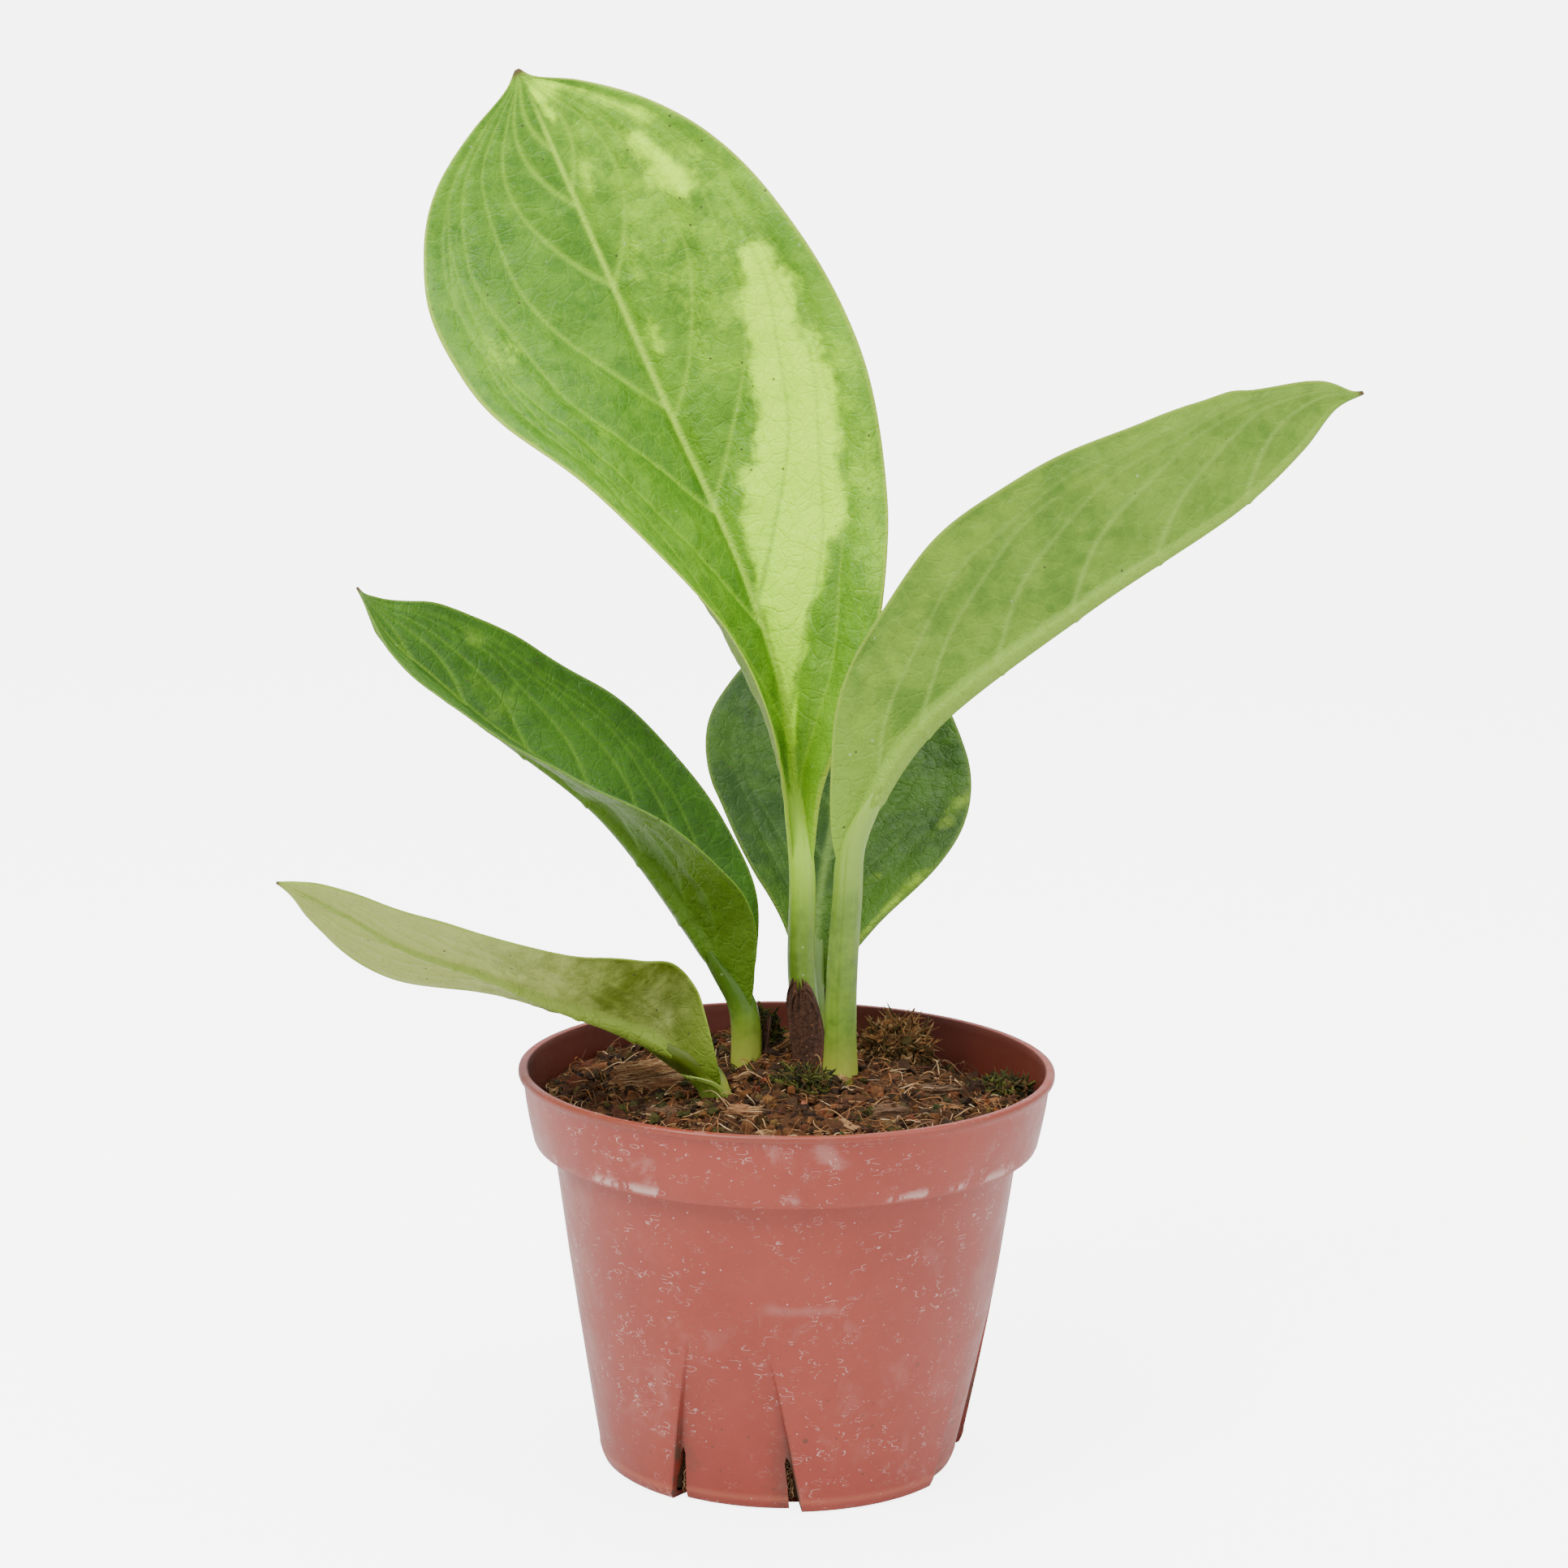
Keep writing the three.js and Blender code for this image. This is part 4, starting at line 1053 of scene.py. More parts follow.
        rib = np.maximum(rib, smoothstep(0.14, start, t) * 0.95)
        add_values(mesh, "vein", strength * self.vein_contrast)
        # painted light: the rise at the blade's base lightens the shaded fold there; each half's share is
        # partly the leaf's own tone and partly painted light, and a large gain along the blade paints a
        # glossy tip lighter
        left_fresh_and_lit, right_fresh_and_lit, tip_gain = self.fresh_and_lit
        add_values(mesh, "fresh_and_lit", np.where(u < 0, left_fresh_and_lit, right_fresh_and_lit) + tip_gain * t
                   + 0.8 * smoothstep(0.28, 0.0, t) * (tip_gain < 1))
        add_values(mesh, "rib", rib * np.where(lower, 0.8, 0.9))
        add_values(mesh, "pale", self.pale_field(u, t))
        add_values(mesh, "under", lower.astype(float))
        add_values(mesh, "edge", smoothstep(width - 0.9, width - 0.2, across) * smoothstep(0.0, 0.1, t))
        add_values(mesh, "tip", smoothstep(0.988, 0.998, t))
        return place_mesh(mesh, self.name + "_skin", self.finish.make(effects),
                          [self.name + "_blade"])

    def build_petiole(self, material: Material) -> Object:
        """Builds the petiole: a stout round stalk that flares into the blade's keel.

        Args:
            material: the stalk's finish.

        Returns:
            The petiole.
        """
        sides, rows = 40, max(60, int((self.blade_start + 0.25) * self.length))
        end = self.blade_start + 0.24 * (1 - self.blade_start)
        bm = parameter_slab(sides, rows)
        grid = vert_array(bm)
        turn, share, inner = grid[:, 0] * math.tau, grid[:, 1] * end, grid[:, 2] < -0.5
        s = share / self.blade_start
        t = (share - self.blade_start) / (1 - self.blade_start)
        centre = self.spine.at(share)
        along = self.spine.along(share, 0.01)
        _, _, up, _ = self.axes(np.maximum(t, 0))
        up = square_to(up, along)
        across = np.cross(along, up)
        radius = self.petiole / 2 * (1.06 - 0.14 * s) * (1 + 0.12 * smoothstep(0.25, 0.0, s))
        radius = np.where(s < 1, radius, self.rib_radius(t)) * smoothstep(0.24, 0.07, t)
        radius = radius * (1 + 0.012 * np.sin(turn * 9 + s * 5))
        radius = np.where(inner, 0.02, np.maximum(radius, 0.02))
        flat = np.where(np.sin(turn) > 0, 1 - 0.8 * smoothstep(-0.02, 0.14, t), 1)
        bend = 0.12 * np.sin(s * 9 + self.seed) * smoothstep(1, 0.7, s)
        points = centre + (radius * np.cos(turn) + bend)[:, None] * across
        points = points + (radius * np.sin(turn) * flat)[:, None] * up
        move_verts(bm, points)
        bmesh.ops.remove_doubles(bm, verts=bm.verts[:], dist=0.03)
        face_outwards(bm)
        mesh = to_mesh(bm, self.name + "_petiole_mesh")
        level = np.array([v.co.z for v in mesh.vertices]) / MM
        foot = self.spine.points[0][2]
        add_values(mesh, "foot", smoothstep(foot + 16, foot + 3, level))
        rise = (level - foot) / (self.spine.at(np.array([self.blade_start]))[0, 2] - foot)
        add_values(mesh, "high", smoothstep(0.7, 1.15, rise))
        return place_mesh(mesh, self.name + "_stalk", material, [self.name + "_petiole"])


def leaf_table() -> list[Leaf]:
    """Returns the five leaves of the plant."""
    tall = Leaf(
        "tall_leaf", 240, 46, 6.4, 0.9, (6, 13),
        ((0, 0, 0), (-3, 1, 27), (-3, 3, 46), (-5, 5, 64), (-8, 8, 86),
         (-17, 14, 112), (-36, 23, 152), (-57, 28, 198), (-66, 29, 218), (-69, 29, 224)),
        0.19, ((0.15, -1, 0), (0.1, -1, 0.15), (0.1, -1, 0.25), (0, -1, 0.25), (0, -1, 0.15)),
        Half((0.07, 0.22, 0.59, 0.87, 1, 0.94, 0.84, 0.61, 0.31, 0.09, 0.012),
             (30, 41, 43, 46, 38, 18, 4, 0, 0, 0, 0), (60, 60, 60, 30, 20, 10, 5, 5, 0, 0, 0),
             ((0.04, 0.87), (0.16, 0.86), (0.3, 0.86), (0.44, 0.8), (0.576, 0.64), (0.73, 0.52),
              (0.83, 0.5), (0.9, 0.42))),
        Half((0.07, 0.22, 0.58, 0.87, 1, 0.96, 0.8, 0.52, 0.25, 0.06, 0.012),
             (50, 38, 25, 18, 15, 13, 11, 9, 8, 8, 8), (20, 15, 10, 10, 10, 10, 8, 5, 5, 5, 5),
             ((0.05, 0.86), (0.18, 0.85), (0.32, 0.83), (0.45, 0.8), (0.56, 0.56), (0.73, 0.5),
              (0.85, 0.45))),
        LeafFinish("tall_leaf_green", (0.052, 0.165, 0.008), (0.17, 0.38, 0.014), (0.56, 1.0, 0.0),
                   (0.26, 0.5, 0.02), (0.36, 0.62, 0.03), (0.2, 0.32, 0.05), (0.3, 0.42, 0.08),
                   (0.36, 0.52, 0.04), mottling=0.35, glow=0.08),
        # the right half's larger share of the lighter green is partly its own tone and partly painted light
        "tall_blade", (0.22, 0.58, 0.0), 0.82,
        (Patch(((0.74, 0.69, 3), (0.7, 0.65, 5), (0.64, 0.59, 5.5), (0.62, 0.53, 7.5), (0.52, 0.46, 10.5),
                (0.42, 0.4, 11.5), (0.3, 0.35, 9), (0.18, 0.29, 6), (0.1, 0.23, 3.5), (0.06, 0.17, 2)), 1.0),
         Patch(((0.15, 0.965, 3), (0.7, 0.965, 3)), 0.8), Patch(((0.15, 0.94, 3.2),), 0.75),
         Patch(((0.75, 0.92, 3), (0.8, 0.9, 3.5)), 0.7), Patch(((0.62, 0.86, 3), (0.6, 0.82, 5)), 0.8),
         Patch(((0.16, 0.87, 2.5), (0.12, 0.84, 3)), 0.45), Patch(((0.8, 0.83, 3),), 0.4),
         Patch(((0.22, 0.76, 2.5), (0.15, 0.73, 2)), 0.35), Patch(((0.1, 0.67, 1.6), (0.08, 0.64, 1.8)), 0.6),
         Patch(((0.85, 0.55, 5), (0.9, 0.3, 5)), 0.3),
         Patch(((0.4, 0.93, 12), (0.6, 0.78, 15), (0.4, 0.62, 10)), 0.24),
         Patch(((-0.5, 0.57, 4),), 0.3), Patch(((-0.7, 0.71, 4),), 0.3)),
        wave=1.1, columns=165, rows=290, seed=1.0, quilting=1.1)
    right_width = (0.16, 0.42, 0.74, 1, 1, 0.9, 0.74, 0.51, 0.21, 0.05, 0.015)
    right = Leaf(
        "right_leaf", 208, 31, 7, 0.9, (12, 0),
        ((0, 0, 0), (0, 0, 23), (1, 0, 44), (2, 0, 57), (9, 0, 72), (19, -1, 85),
         (52, -4, 111), (85, -6, 134), (97, -7, 146), (104, -7, 155), (110, -7, 158)),
        0.25, ((-1, 0.25, 0.5), (-0.7, 0.25, 0.7), (-0.5, 0.25, 0.84), (-0.5, 0.25, 0.84), (-0.5, 0.2, 0.84)),
        Half(right_width, (65, 72, 75, 75, 75, 74, 74, 74, 70, 60, 50), veins=FEW_VEINS),
        Half(right_width, (65, 72, 75, 75, 75, 75, 75, 74, 68, 60, 50), veins=FEW_VEINS),
        LeafFinish("right_leaf_green", (0.05, 0.14, 0.008), (0.1, 0.22, 0.014), (0.26, 0.42, 0.02),
                   (0.26, 0.42, 0.06), (0.24, 0.4, 0.04), (0.07, 0.17, 0.012), (0.17, 0.31, 0.025),
                   (0.25, 0.38, 0.035), gloss=0.38, glow=0.08),
        "right_blade", (0.5, 0.5, 0.0), 0.55,
        (Patch(((0.9, 0.55, 4), (0.8, 0.35, 5), (0.6, 0.15, 3)), 0.45),
         Patch(((0.9, 0.75, 3), (0.7, 0.6, 4)), 0.35), Patch(((-0.7, 0.5, 9),), 0.4)),
        wave=0.25, columns=110, rows=260, seed=2.0, quilting=0.4)
    left_width = (0.24, 0.67, 0.9, 1, 1, 0.92, 0.7, 0.43, 0.18, 0.05, 0.015)
    left = Leaf(
        "left_leaf", 148, 25.5, 7, 0.9, (-9, 12),
        ((0, 0, 0), (-1, 0, 16), (-5, 0, 24), (-12, -1, 35), (-32, -4, 61),
         (-58, -9, 82), (-70, -12, 93), (-79, -15, 102), (-85, -18, 113)),
        0.12, ((1, -0.1, 0.3), *((0.66, -0.1, 0.75),) * 3, (0.66, -0.2, 0.75)),
        Half(left_width, (65, 60, 44, 30, 19, 13, 10, 10, 8, 5, 0)),
        Half(left_width, (55, 54, 45, 40, 40, 40, 38, 34, 20, 8, 0)),
        LeafFinish("left_leaf_green", (0.024, 0.085, 0.004), (0.05, 0.15, 0.008), (0.15, 0.3, 0.02),
                   (0.12, 0.26, 0.02), (0.11, 0.23, 0.016), (0.07, 0.16, 0.006), (0.1, 0.2, 0.012),
                   (0.13, 0.25, 0.02), gloss=0.3, mottling=0.1, glow=0.05),
        "left_blade", (0.4, 0.5, 0.1), 0.78,
        (Patch(((0.3, 0.72, 4), (0.25, 0.66, 4)), 0.35), Patch(((0.75, 0.76, 2.2),), 0.6),
         Patch(((0.4, 0.2, 8),), 0.2)),
        wave=0.35, columns=100, rows=240, seed=3.0)
    low = Leaf(
        "low_leaf", 113, 19, 5.6, 0.8, (-14, -15),
        ((0, 0, 0), (-3, -1, 8), (-12, -2, 14), (-24, -4, 20), (-37, -6, 25),
         (-52, -9, 32), (-68, -12, 38), (-83, -14, 47), (-93, -15, 52), (-96, -15, 53)),
        0.08, ((0.4, 0.5, 0.8), (0.3, 0.7, 0.7), (0.3, 0.8, 0.6), (0.2, 0.9, 0.4), (0.2, 0.9, 0.4)),
        Half((0.3, 0.84, 1, 0.95, 0.84, 0.74, 0.53, 0.32, 0.13, 0.05, 0.015),
             (20, 60, 20, 5, -8, -14, -17, -16, -5, 0, 0)),
        Half((0.3, 0.84, 1, 0.95, 0.84, 0.74, 0.55, 0.34, 0.13, 0.05, 0.015),
             (0, 18, 26, 23, 19, 15, 8, 12, 10, 0, 0)),
        # painted sheen: the low leaf's whitish pale colour and pale patches, and its gain of 1.9 along the
        # blade, paint its glossy tip and middle lighter
        LeafFinish("low_leaf_green", (0.06, 0.14, 0.01), (0.1, 0.2, 0.02), (0.42, 0.46, 0.16),
                   (0.19, 0.26, 0.03), (0.2, 0.3, 0.03), (0.085, 0.125, 0.004), (0.33, 0.39, 0.09),
                   (0.26, 0.36, 0.04), gloss=0.4, glow=0.06),
        "low_blade", (-0.1, -0.1, 1.9), 0.45,
        (Patch(((-0.5, 0.2, 3), (-0.4, 0.14, 3)), 0.5), Patch(((-0.5, 0.4, 2.5),), 0.5),
         Patch(((-0.8, 0.7, 2.5),), 0.3)),
        wave=0.25, columns=90, rows=220, seed=4.0)
    rear_fold, rear_curl = (40, 30, 20, 15, 12, 11, 10, 9, 8, 8, 8), (0, 2, 4, 5, 5, 5, 4, 3, 2, 1, 0)
    rear = Leaf(
        "rear_leaf", 129, 33, 5.2, 0.8, (7, 20),
        ((0, 0, 0), (-1, 2, 21), (0, 12, 37), (3, 28, 51), (5, 42, 65), (7, 56, 79), (8, 68, 91),
         (8, 76, 98)),
        0.14, ((0.1, -0.9, 0.3), (0.05, -0.7, 0.7), (0.05, -0.7, 0.7), (0, -0.7, 0.7), (0, -0.7, 0.7)),
        Half((0.08, 0.27, 0.64, 0.91, 1, 0.88, 0.67, 0.42, 0.24, 0.09, 0.012),
             rear_fold, rear_curl),
        Half((0.08, 0.45, 0.82, 0.97, 0.94, 0.73, 0.48, 0.27, 0.12, 0.04, 0.012),
             rear_fold, rear_curl),
        LeafFinish("rear_leaf_green", (0.015, 0.055, 0.002), (0.05, 0.13, 0.004), (0.26, 0.42, 0.02),
                   (0.08, 0.16, 0.025), (0.11, 0.2, 0.03), (0.09, 0.16, 0.02), (0.13, 0.22, 0.03),
                   (0.13, 0.22, 0.03), gloss=0.4, mottling=0.08, glow=0.05),
        "rear_blade", (0.3, 0.6, 0.0), 0.5,
        (Patch(((0.92, 0.1, 1.5), (0.95, 0.25, 1.5)), 0.7), Patch(((0.75, 0.32, 2.5), (0.95, 0.45, 2)), 0.55),
         Patch(((0.5, 0.25, 2.0),), 0.4)),
        wave=0.4, columns=90, rows=200, seed=5.0)
    return [tall, right, left, low, rear]


# ---------------- sheaths


@dataclass
class Sheath:
    """A papery sheath that stays round one side of a petiole's base."""

    name: str
    leaf: Leaf
    faces: float
    span: float
    height: float
    flare: float
    thickness: float
    slot: str
    crinkle: float = 0.35
    drop: float = 2.5
    point: float = 1.6

    def build(self, material: Material) -> Object:
        """Builds the sheath, crinkled along its length and frayed at its top.

        Args:
            material: its finish.

        Returns:
            The sheath.
        """
        bm = parameter_slab(64, 70)
        grid = vert_array(bm)
        w, s, inner = grid[:, 0] * 2 - 1, grid[:, 1], grid[:, 2] < -0.5
        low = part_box(self.name)[0].z / MM
        root = self.leaf.spine.points[0]
        start = max(low - root[2], 0.2)
        fray = 0.07 * np.sin(w * 13 + self.faces) + 0.04 * np.sin(w * 37 + 1)
        reach = s * (1 + fray * s)
        centre = self.leaf.spine.at((start + self.height * reach) / self.leaf.length)
        span = np.radians(self.span) / 2 * np.sqrt(np.maximum(1 - 0.96 * s ** self.point, 0.015))
        angle = np.radians(self.faces) + span * w
        folds = np.sin(w * 17 + 2 * np.sin(s * 4)) * 0.6 + np.sin(w * 41 + s * 7) * 0.3
        radius = self.leaf.petiole / 2 * 1.06 + 0.55 + self.flare * s * s
        radius = radius + self.crinkle * folds * (0.35 + s) * 0.5
        radius = radius + np.where(inner, 0.0, self.thickness * (0.7 - 0.4 * s) * (1 - 0.6 * w ** 6))
        around = np.stack([np.cos(angle), np.sin(angle), np.zeros_like(angle)], axis=-1)
        move_verts(bm, centre + radius[:, None] * around)
        face_outwards(bm)
        return place_mesh(to_mesh(bm, self.name + "_mesh"), self.name + "_paper", material,
                          [self.name])


# ---------------- the pot


@dataclass
class Pot:
    """The nursery pot: a tapered body under a wider band, four pressed panels and eight drain slots."""

    wall: float = 1.1
    floor: float = 1.3
    band_height: float = 16.7
    band_step: float = 4.2
    band_lean: float = 2.6
    lip_height: float = 1.6
    lip_overhang: float = 1.0
    base_radius: float = 41.0
    panel_centre: float = -15.0
    panel_angles: tuple[float, float] = (41.0, 20.0)
    panel_height: float = 42.0
    panel_depth: float = 2.3
    slot_height: float = 13.0
    slot_width: float = 2.0
    step_angle: float = 0.5
    seam_height: float = 2.6
    columns: int = 480
    height: float = field(init=False)
    rim: float = field(init=False)

    def __post_init__(self) -> None:
        """Takes the height and the rim from the frame."""
        low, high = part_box("pot")
        self.height = high.z / MM
        self.rim = max(high.x, high.y, -low.x, -low.y) / MM
        self.band_bottom = self.height - self.band_height
        self.band_radius = self.rim - self.lip_overhang
        self.band_foot = self.band_radius - self.band_lean
        self.shoulder = self.band_foot - self.band_step

    def body_radius(self, z: Array | float) -> Array:
        """Returns the plain body's outer radius at a height."""
        s = np.clip(np.asarray(z) / self.band_bottom, 0, 1)
        return self.base_radius + (self.shoulder - self.base_radius) * (1.12 * s - 0.12 * s * s)

    def profile(self) -> list[tuple[float, float]]:
        """Returns the pot's section as (radius, height), from the axis under the floor to the axis inside."""
        base, top = self.base_radius, self.height
        outline = [(0, 0.9), (10, 0.9), (22, 0.9), (27, 0.7), (29, 0.1), (30, 0), (base - 1.4, 0),
                   (base - 0.7, 0.08), (base - 0.25, 0.35), (base, 0.9)]
        for z in np.arange(1.5, self.band_bottom - 1.2, 1.2):
            outline.append((float(self.body_radius(z)), float(z)))
        foot, shelf, lean = self.band_foot, self.band_bottom, self.band_lean
        outline += [(self.shoulder - 0.1, shelf - 0.9), (self.shoulder + 0.15, shelf - 0.35),
                    (self.shoulder + 0.7, shelf - 0.08), (foot - 1.2, shelf - 0.02), (foot - 0.45, shelf),
                    (foot - 0.12, shelf + 0.15), (foot, shelf + 0.5)]
        lip = top - self.lip_height
        for share in np.linspace(0.06, 0.94, 12):
            bow = 0.25 * math.sin(share * math.pi)
            outline.append((foot + lean * share + bow, shelf + (lip - shelf) * share))
        outline += [(self.band_radius + 0.05, lip - 0.35), (self.band_radius + 0.25, lip - 0.1),
                    (self.rim - 0.4, lip), (self.rim - 0.1, lip + 0.15), (self.rim, lip + 0.45),
                    (self.rim, top - 0.6), (self.rim - 0.12, top - 0.25), (self.rim - 0.4, top - 0.05),
                    (self.rim - 0.7, top), (self.band_radius - self.wall + 0.45, top),
                    (self.band_radius - self.wall + 0.1, top - 0.12),
                    (self.band_radius - self.wall - 0.1, top - 0.5)]
        for share in np.linspace(0.9, 0.08, 10):
            outline.append((foot + lean * share - self.wall, shelf + self.wall + (lip - shelf) * share))
        outline += [(foot - self.wall, shelf + self.wall + 0.2), (foot - self.wall - 0.5, shelf + self.wall),
                    (self.shoulder - self.wall + 0.3, shelf + self.wall - 0.05),
                    (self.shoulder - self.wall, shelf + self.wall - 0.6)]
        for z in np.arange(self.band_bottom - 2.5, self.floor + 1.5, -3.0):
            outline.append((float(self.body_radius(z)) - self.wall, float(z)))
        outline += [(base - self.wall - 0.5, self.floor + 0.3), (base - self.wall - 1.5, self.floor),
                    (25, self.floor), (12, self.floor), (0, self.floor)]
        return outline

    def panel_edge(self, z: Array | float) -> Array:
        """Returns half of a panel's angle at a height."""
        wide, narrow = self.panel_angles
        return (wide + (narrow - wide) * np.clip(z / self.panel_height, 0, 1)) / 2

    def off_panel(self, angle: Array) -> Array:
        """Returns the signed angles from the nearest panel's middle."""
        return (angle - (self.panel_centre - 90) + 45) % 90 - 45

    def pressed(self, angle: Array, z: Array, radius: Array) -> Array:
        """Presses the panels into the lower wall.

        Args:
            angle: each vertex's angle in degrees, evenly spaced round the pot.
            z: heights.
            radius: radii before pressing.

        Returns:
            New angles and radii, one row each.
        """
        edge = self.panel_edge(z)
        local = self.off_panel(angle)
        side = np.sign(local)
        a = np.abs(local)
        panel_end, step_end = 18.0, 22.0
        step = edge + (a - panel_end) / (step_end - panel_end) * self.step_angle
        wall = edge + self.step_angle + (a - step_end) / (45 - step_end) * (45 - edge - self.step_angle)
        placed = np.where(a < panel_end, a / panel_end * edge, np.where(a < step_end, step, wall))
        depth = self.panel_depth * np.clip(1 - z / self.panel_height, 0, 1)
        amount = 1 - np.clip((a - panel_end) / (step_end - panel_end), 0, 1)
        moved = angle - local + side * placed
        return np.stack([moved, radius - depth * amount * (radius > 30)], axis=-1)

    def cutter(self, index: int, side: int) -> Object:
        """A tapered wedge that cuts one drain slot.

        Args:
            index: which panel.
            side: -1 or 1, which edge of the panel.

        Returns:
            The wedge, a passing object.
        """
        bm = bmesh.new()
        bmesh.ops.create_cube(bm, size=1)
        cuts = [edge for edge in bm.edges if abs(edge.verts[0].co.z - edge.verts[1].co.z) > 0.5]
        bmesh.ops.subdivide_edges(bm, edges=cuts, cuts=9)
        grid = vert_array(bm) + 0.5
        z = -1 + grid[:, 2] * (self.slot_height + 1)
        rounded = np.sqrt(np.clip(1 - (np.maximum(z - self.slot_height + 1.2, 0) / 1.2) ** 2, 0.02, 1))
        width = self.slot_width * (1.35 - 0.85 * np.clip(z / self.slot_height, 0, 1)) * rounded
        span = np.degrees(width / self.body_radius(z))
        middle = self.panel_edge(z) + 0.2 - np.degrees(self.slot_width * 0.45 / self.body_radius(z))
        angle = np.radians(-90 + self.panel_centre + 90 * index + side * (middle + (grid[:, 0] - 0.5) * span))
        radius = self.body_radius(z) - 7 + grid[:, 1] * 12
        move_verts(bm, round_points(radius, angle, z))
        face_outwards(bm)
        return add_object("slot_cutter", to_mesh(bm, "slot_cutter"))

    def build(self, material: Material) -> Object:
        """Builds and dresses the pot.

        Args:
            material: the plastic.

        Returns:
            The pot.
        """
        bm = turned(self.profile(), self.columns)
        points = vert_array(bm)
        radius, turn = polar(points)
        placed = self.pressed(turn, points[:, 2], radius)
        angle = np.radians(placed[:, 0])
        wear = fractal(np.stack([np.cos(angle) * 60, np.sin(angle) * 60, points[:, 2]], axis=-1), 0.05, 3)
        out = placed[:, 1] + np.where(radius > 30, 0.06 * wear, 0)
        seam = np.exp(-((points[:, 2] - self.seam_height) / 0.35) ** 2)
        out = out + 0.16 * seam * (radius > self.base_radius - 0.2)
        move_verts(bm, round_points(out, angle, points[:, 2]))
        whole = add_object("pot_whole", to_mesh(bm, "pot_whole"))
        wedges = [self.cutter(index, side) for index in range(4) for side in (-1, 1)]
        for wedge in wedges:
            cut = whole.modifiers.new("slot", "BOOLEAN")
            cut.operation, cut.solver, cut.object = "DIFFERENCE", "MANIFOLD", wedge
        graph = bpy.context.evaluated_depsgraph_get()
        mesh = bpy.data.meshes.new_from_object(whole.evaluated_get(graph))
        for passing in [whole, *wedges]:
            bpy.data.objects.remove(passing)
        mesh.name = "pot_mesh"
        place = np.array([v.co[:] for v in mesh.vertices]) / MM
        (r, turn), z = polar(place), place[:, 2]
        shelf = self.band_bottom
        outer_body = self.pressed(turn, z, self.body_radius(z))[:, 1]
        band_out = self.band_foot + self.band_lean * np.clip((z - shelf) / self.band_height, 0, 1)
        outer = np.where(z > shelf + 0.6, band_out, outer_body)
        inner = smoothstep(0.35, 0.75, outer - r) * (z > 1.0) * (z < self.height - 0.3)
        inner = np.where(z > shelf - 1.5, np.where(r < band_out - 0.8, (z > shelf + 0.7) * 1.0, 0), inner)
        add_values(mesh, "inner", inner)
        add_values(mesh, "lip", smoothstep(self.rim - 0.9, self.rim - 0.2, r) * (z > shelf + 10))
        # painted shade along each panel's step, on the pressed side, where the step's shadow falls
        local = np.abs(self.off_panel(turn))
        past = (self.panel_edge(z) + self.step_angle - local) * math.pi / 180 * r
        inward = np.maximum(past, 0)
        shade = (0.6 * np.exp(-(inward / 1.1) ** 2) + 0.4 * np.exp(-(inward / 5) ** 2)) * (past > -0.35)
        add_values(mesh, "step_shade", shade * smoothstep(self.panel_height, 12, z) * (r > 36) * (1 - inner))
        add_values(mesh, "seam", np.exp(-((z - self.seam_height) / 0.3) ** 2) * (1 - inner))
        piece = place_mesh(mesh, "nursery_pot", material, ["pot"])
        mesh.set_sharp_from_angle(angle=math.radians(38))
        return piece


# ---------------- the potting mix


class Strands:
    """Thin bent fibres gathered into one piece, each with its own colour."""

    def __init__(self) -> None:
        """Starts an empty gathering of fibres."""
        self.lines: list[tuple[Array, float, Color]] = []

    def add(self, points: Array, radius: float, tint: Color) -> None:
        """Adds one fibre."""
        self.lines.append((points, radius, tint))

    def mesh(self, name: str) -> Mesh:
        """Turns the fibres into one mesh in metres with their colours."""
        curve = bpy.data.curves.new(name, "CURVE")
        curve.dimensions = "3D"
        curve.bevel_depth = MM
        curve.bevel_resolution = 0
        for points, radius, _ in self.lines:
            spline = curve.splines.new("POLY")
            spline.points.add(len(points) - 1)
            taper = np.sin(np.linspace(0.35, math.pi - 0.25, len(points))) ** 0.5
            taper[[0, -1]] = 0.0
            for dot, place, share in zip(spline.points, points, taper):
                dot.co = (*(place * MM), 1)
                dot.radius = radius * share
        passing = add_object(name, curve)
        mesh = bpy.data.meshes.new_from_object(passing.evaluated_get(bpy.context.evaluated_depsgraph_get()))
        bpy.data.objects.remove(passing)
        ring = len(mesh.vertices) // sum(len(points) for points, _, _ in self.lines)
        add_tints(mesh, np.concatenate([np.repeat([tint], ring * len(points), axis=0)
                                        for points, _, tint in self.lines]))
        bm = bmesh.new()
        bm.from_mesh(mesh)
        bmesh.ops.remove_doubles(bm, verts=bm.verts[:], dist=1e-6)
        face_outwards(bm)
        bm.to_mesh(mesh)
        bm.free()
        return mesh


class Crumbs:
    """Many small copies of a few seed shapes gathered into one mesh, each with its own colour."""

    def __init__(self, seeds: Sequence[Mesh]) -> None:
        """Takes the seed shapes."""
        self.seeds = seeds
        self.bm = bmesh.new()
        self.tints: list[Array] = []

    def add(self, index: int, matrix: Matrix, tint: Color) -> None:
        """Adds a copy of one seed shape."""
        seed = self.seeds[index % len(self.seeds)]
        seed.transform(matrix)
        self.bm.from_mesh(seed)
        seed.transform(matrix.inverted())
        self.tints.append(np.repeat([tint], len(seed.vertices), axis=0))

    def mesh(self, name: str) -> Mesh:
        """Returns the gathered mesh, in metres."""
        mesh = to_mesh(self.bm, name)
        add_tints(mesh, np.concatenate(self.tints))
        return mesh


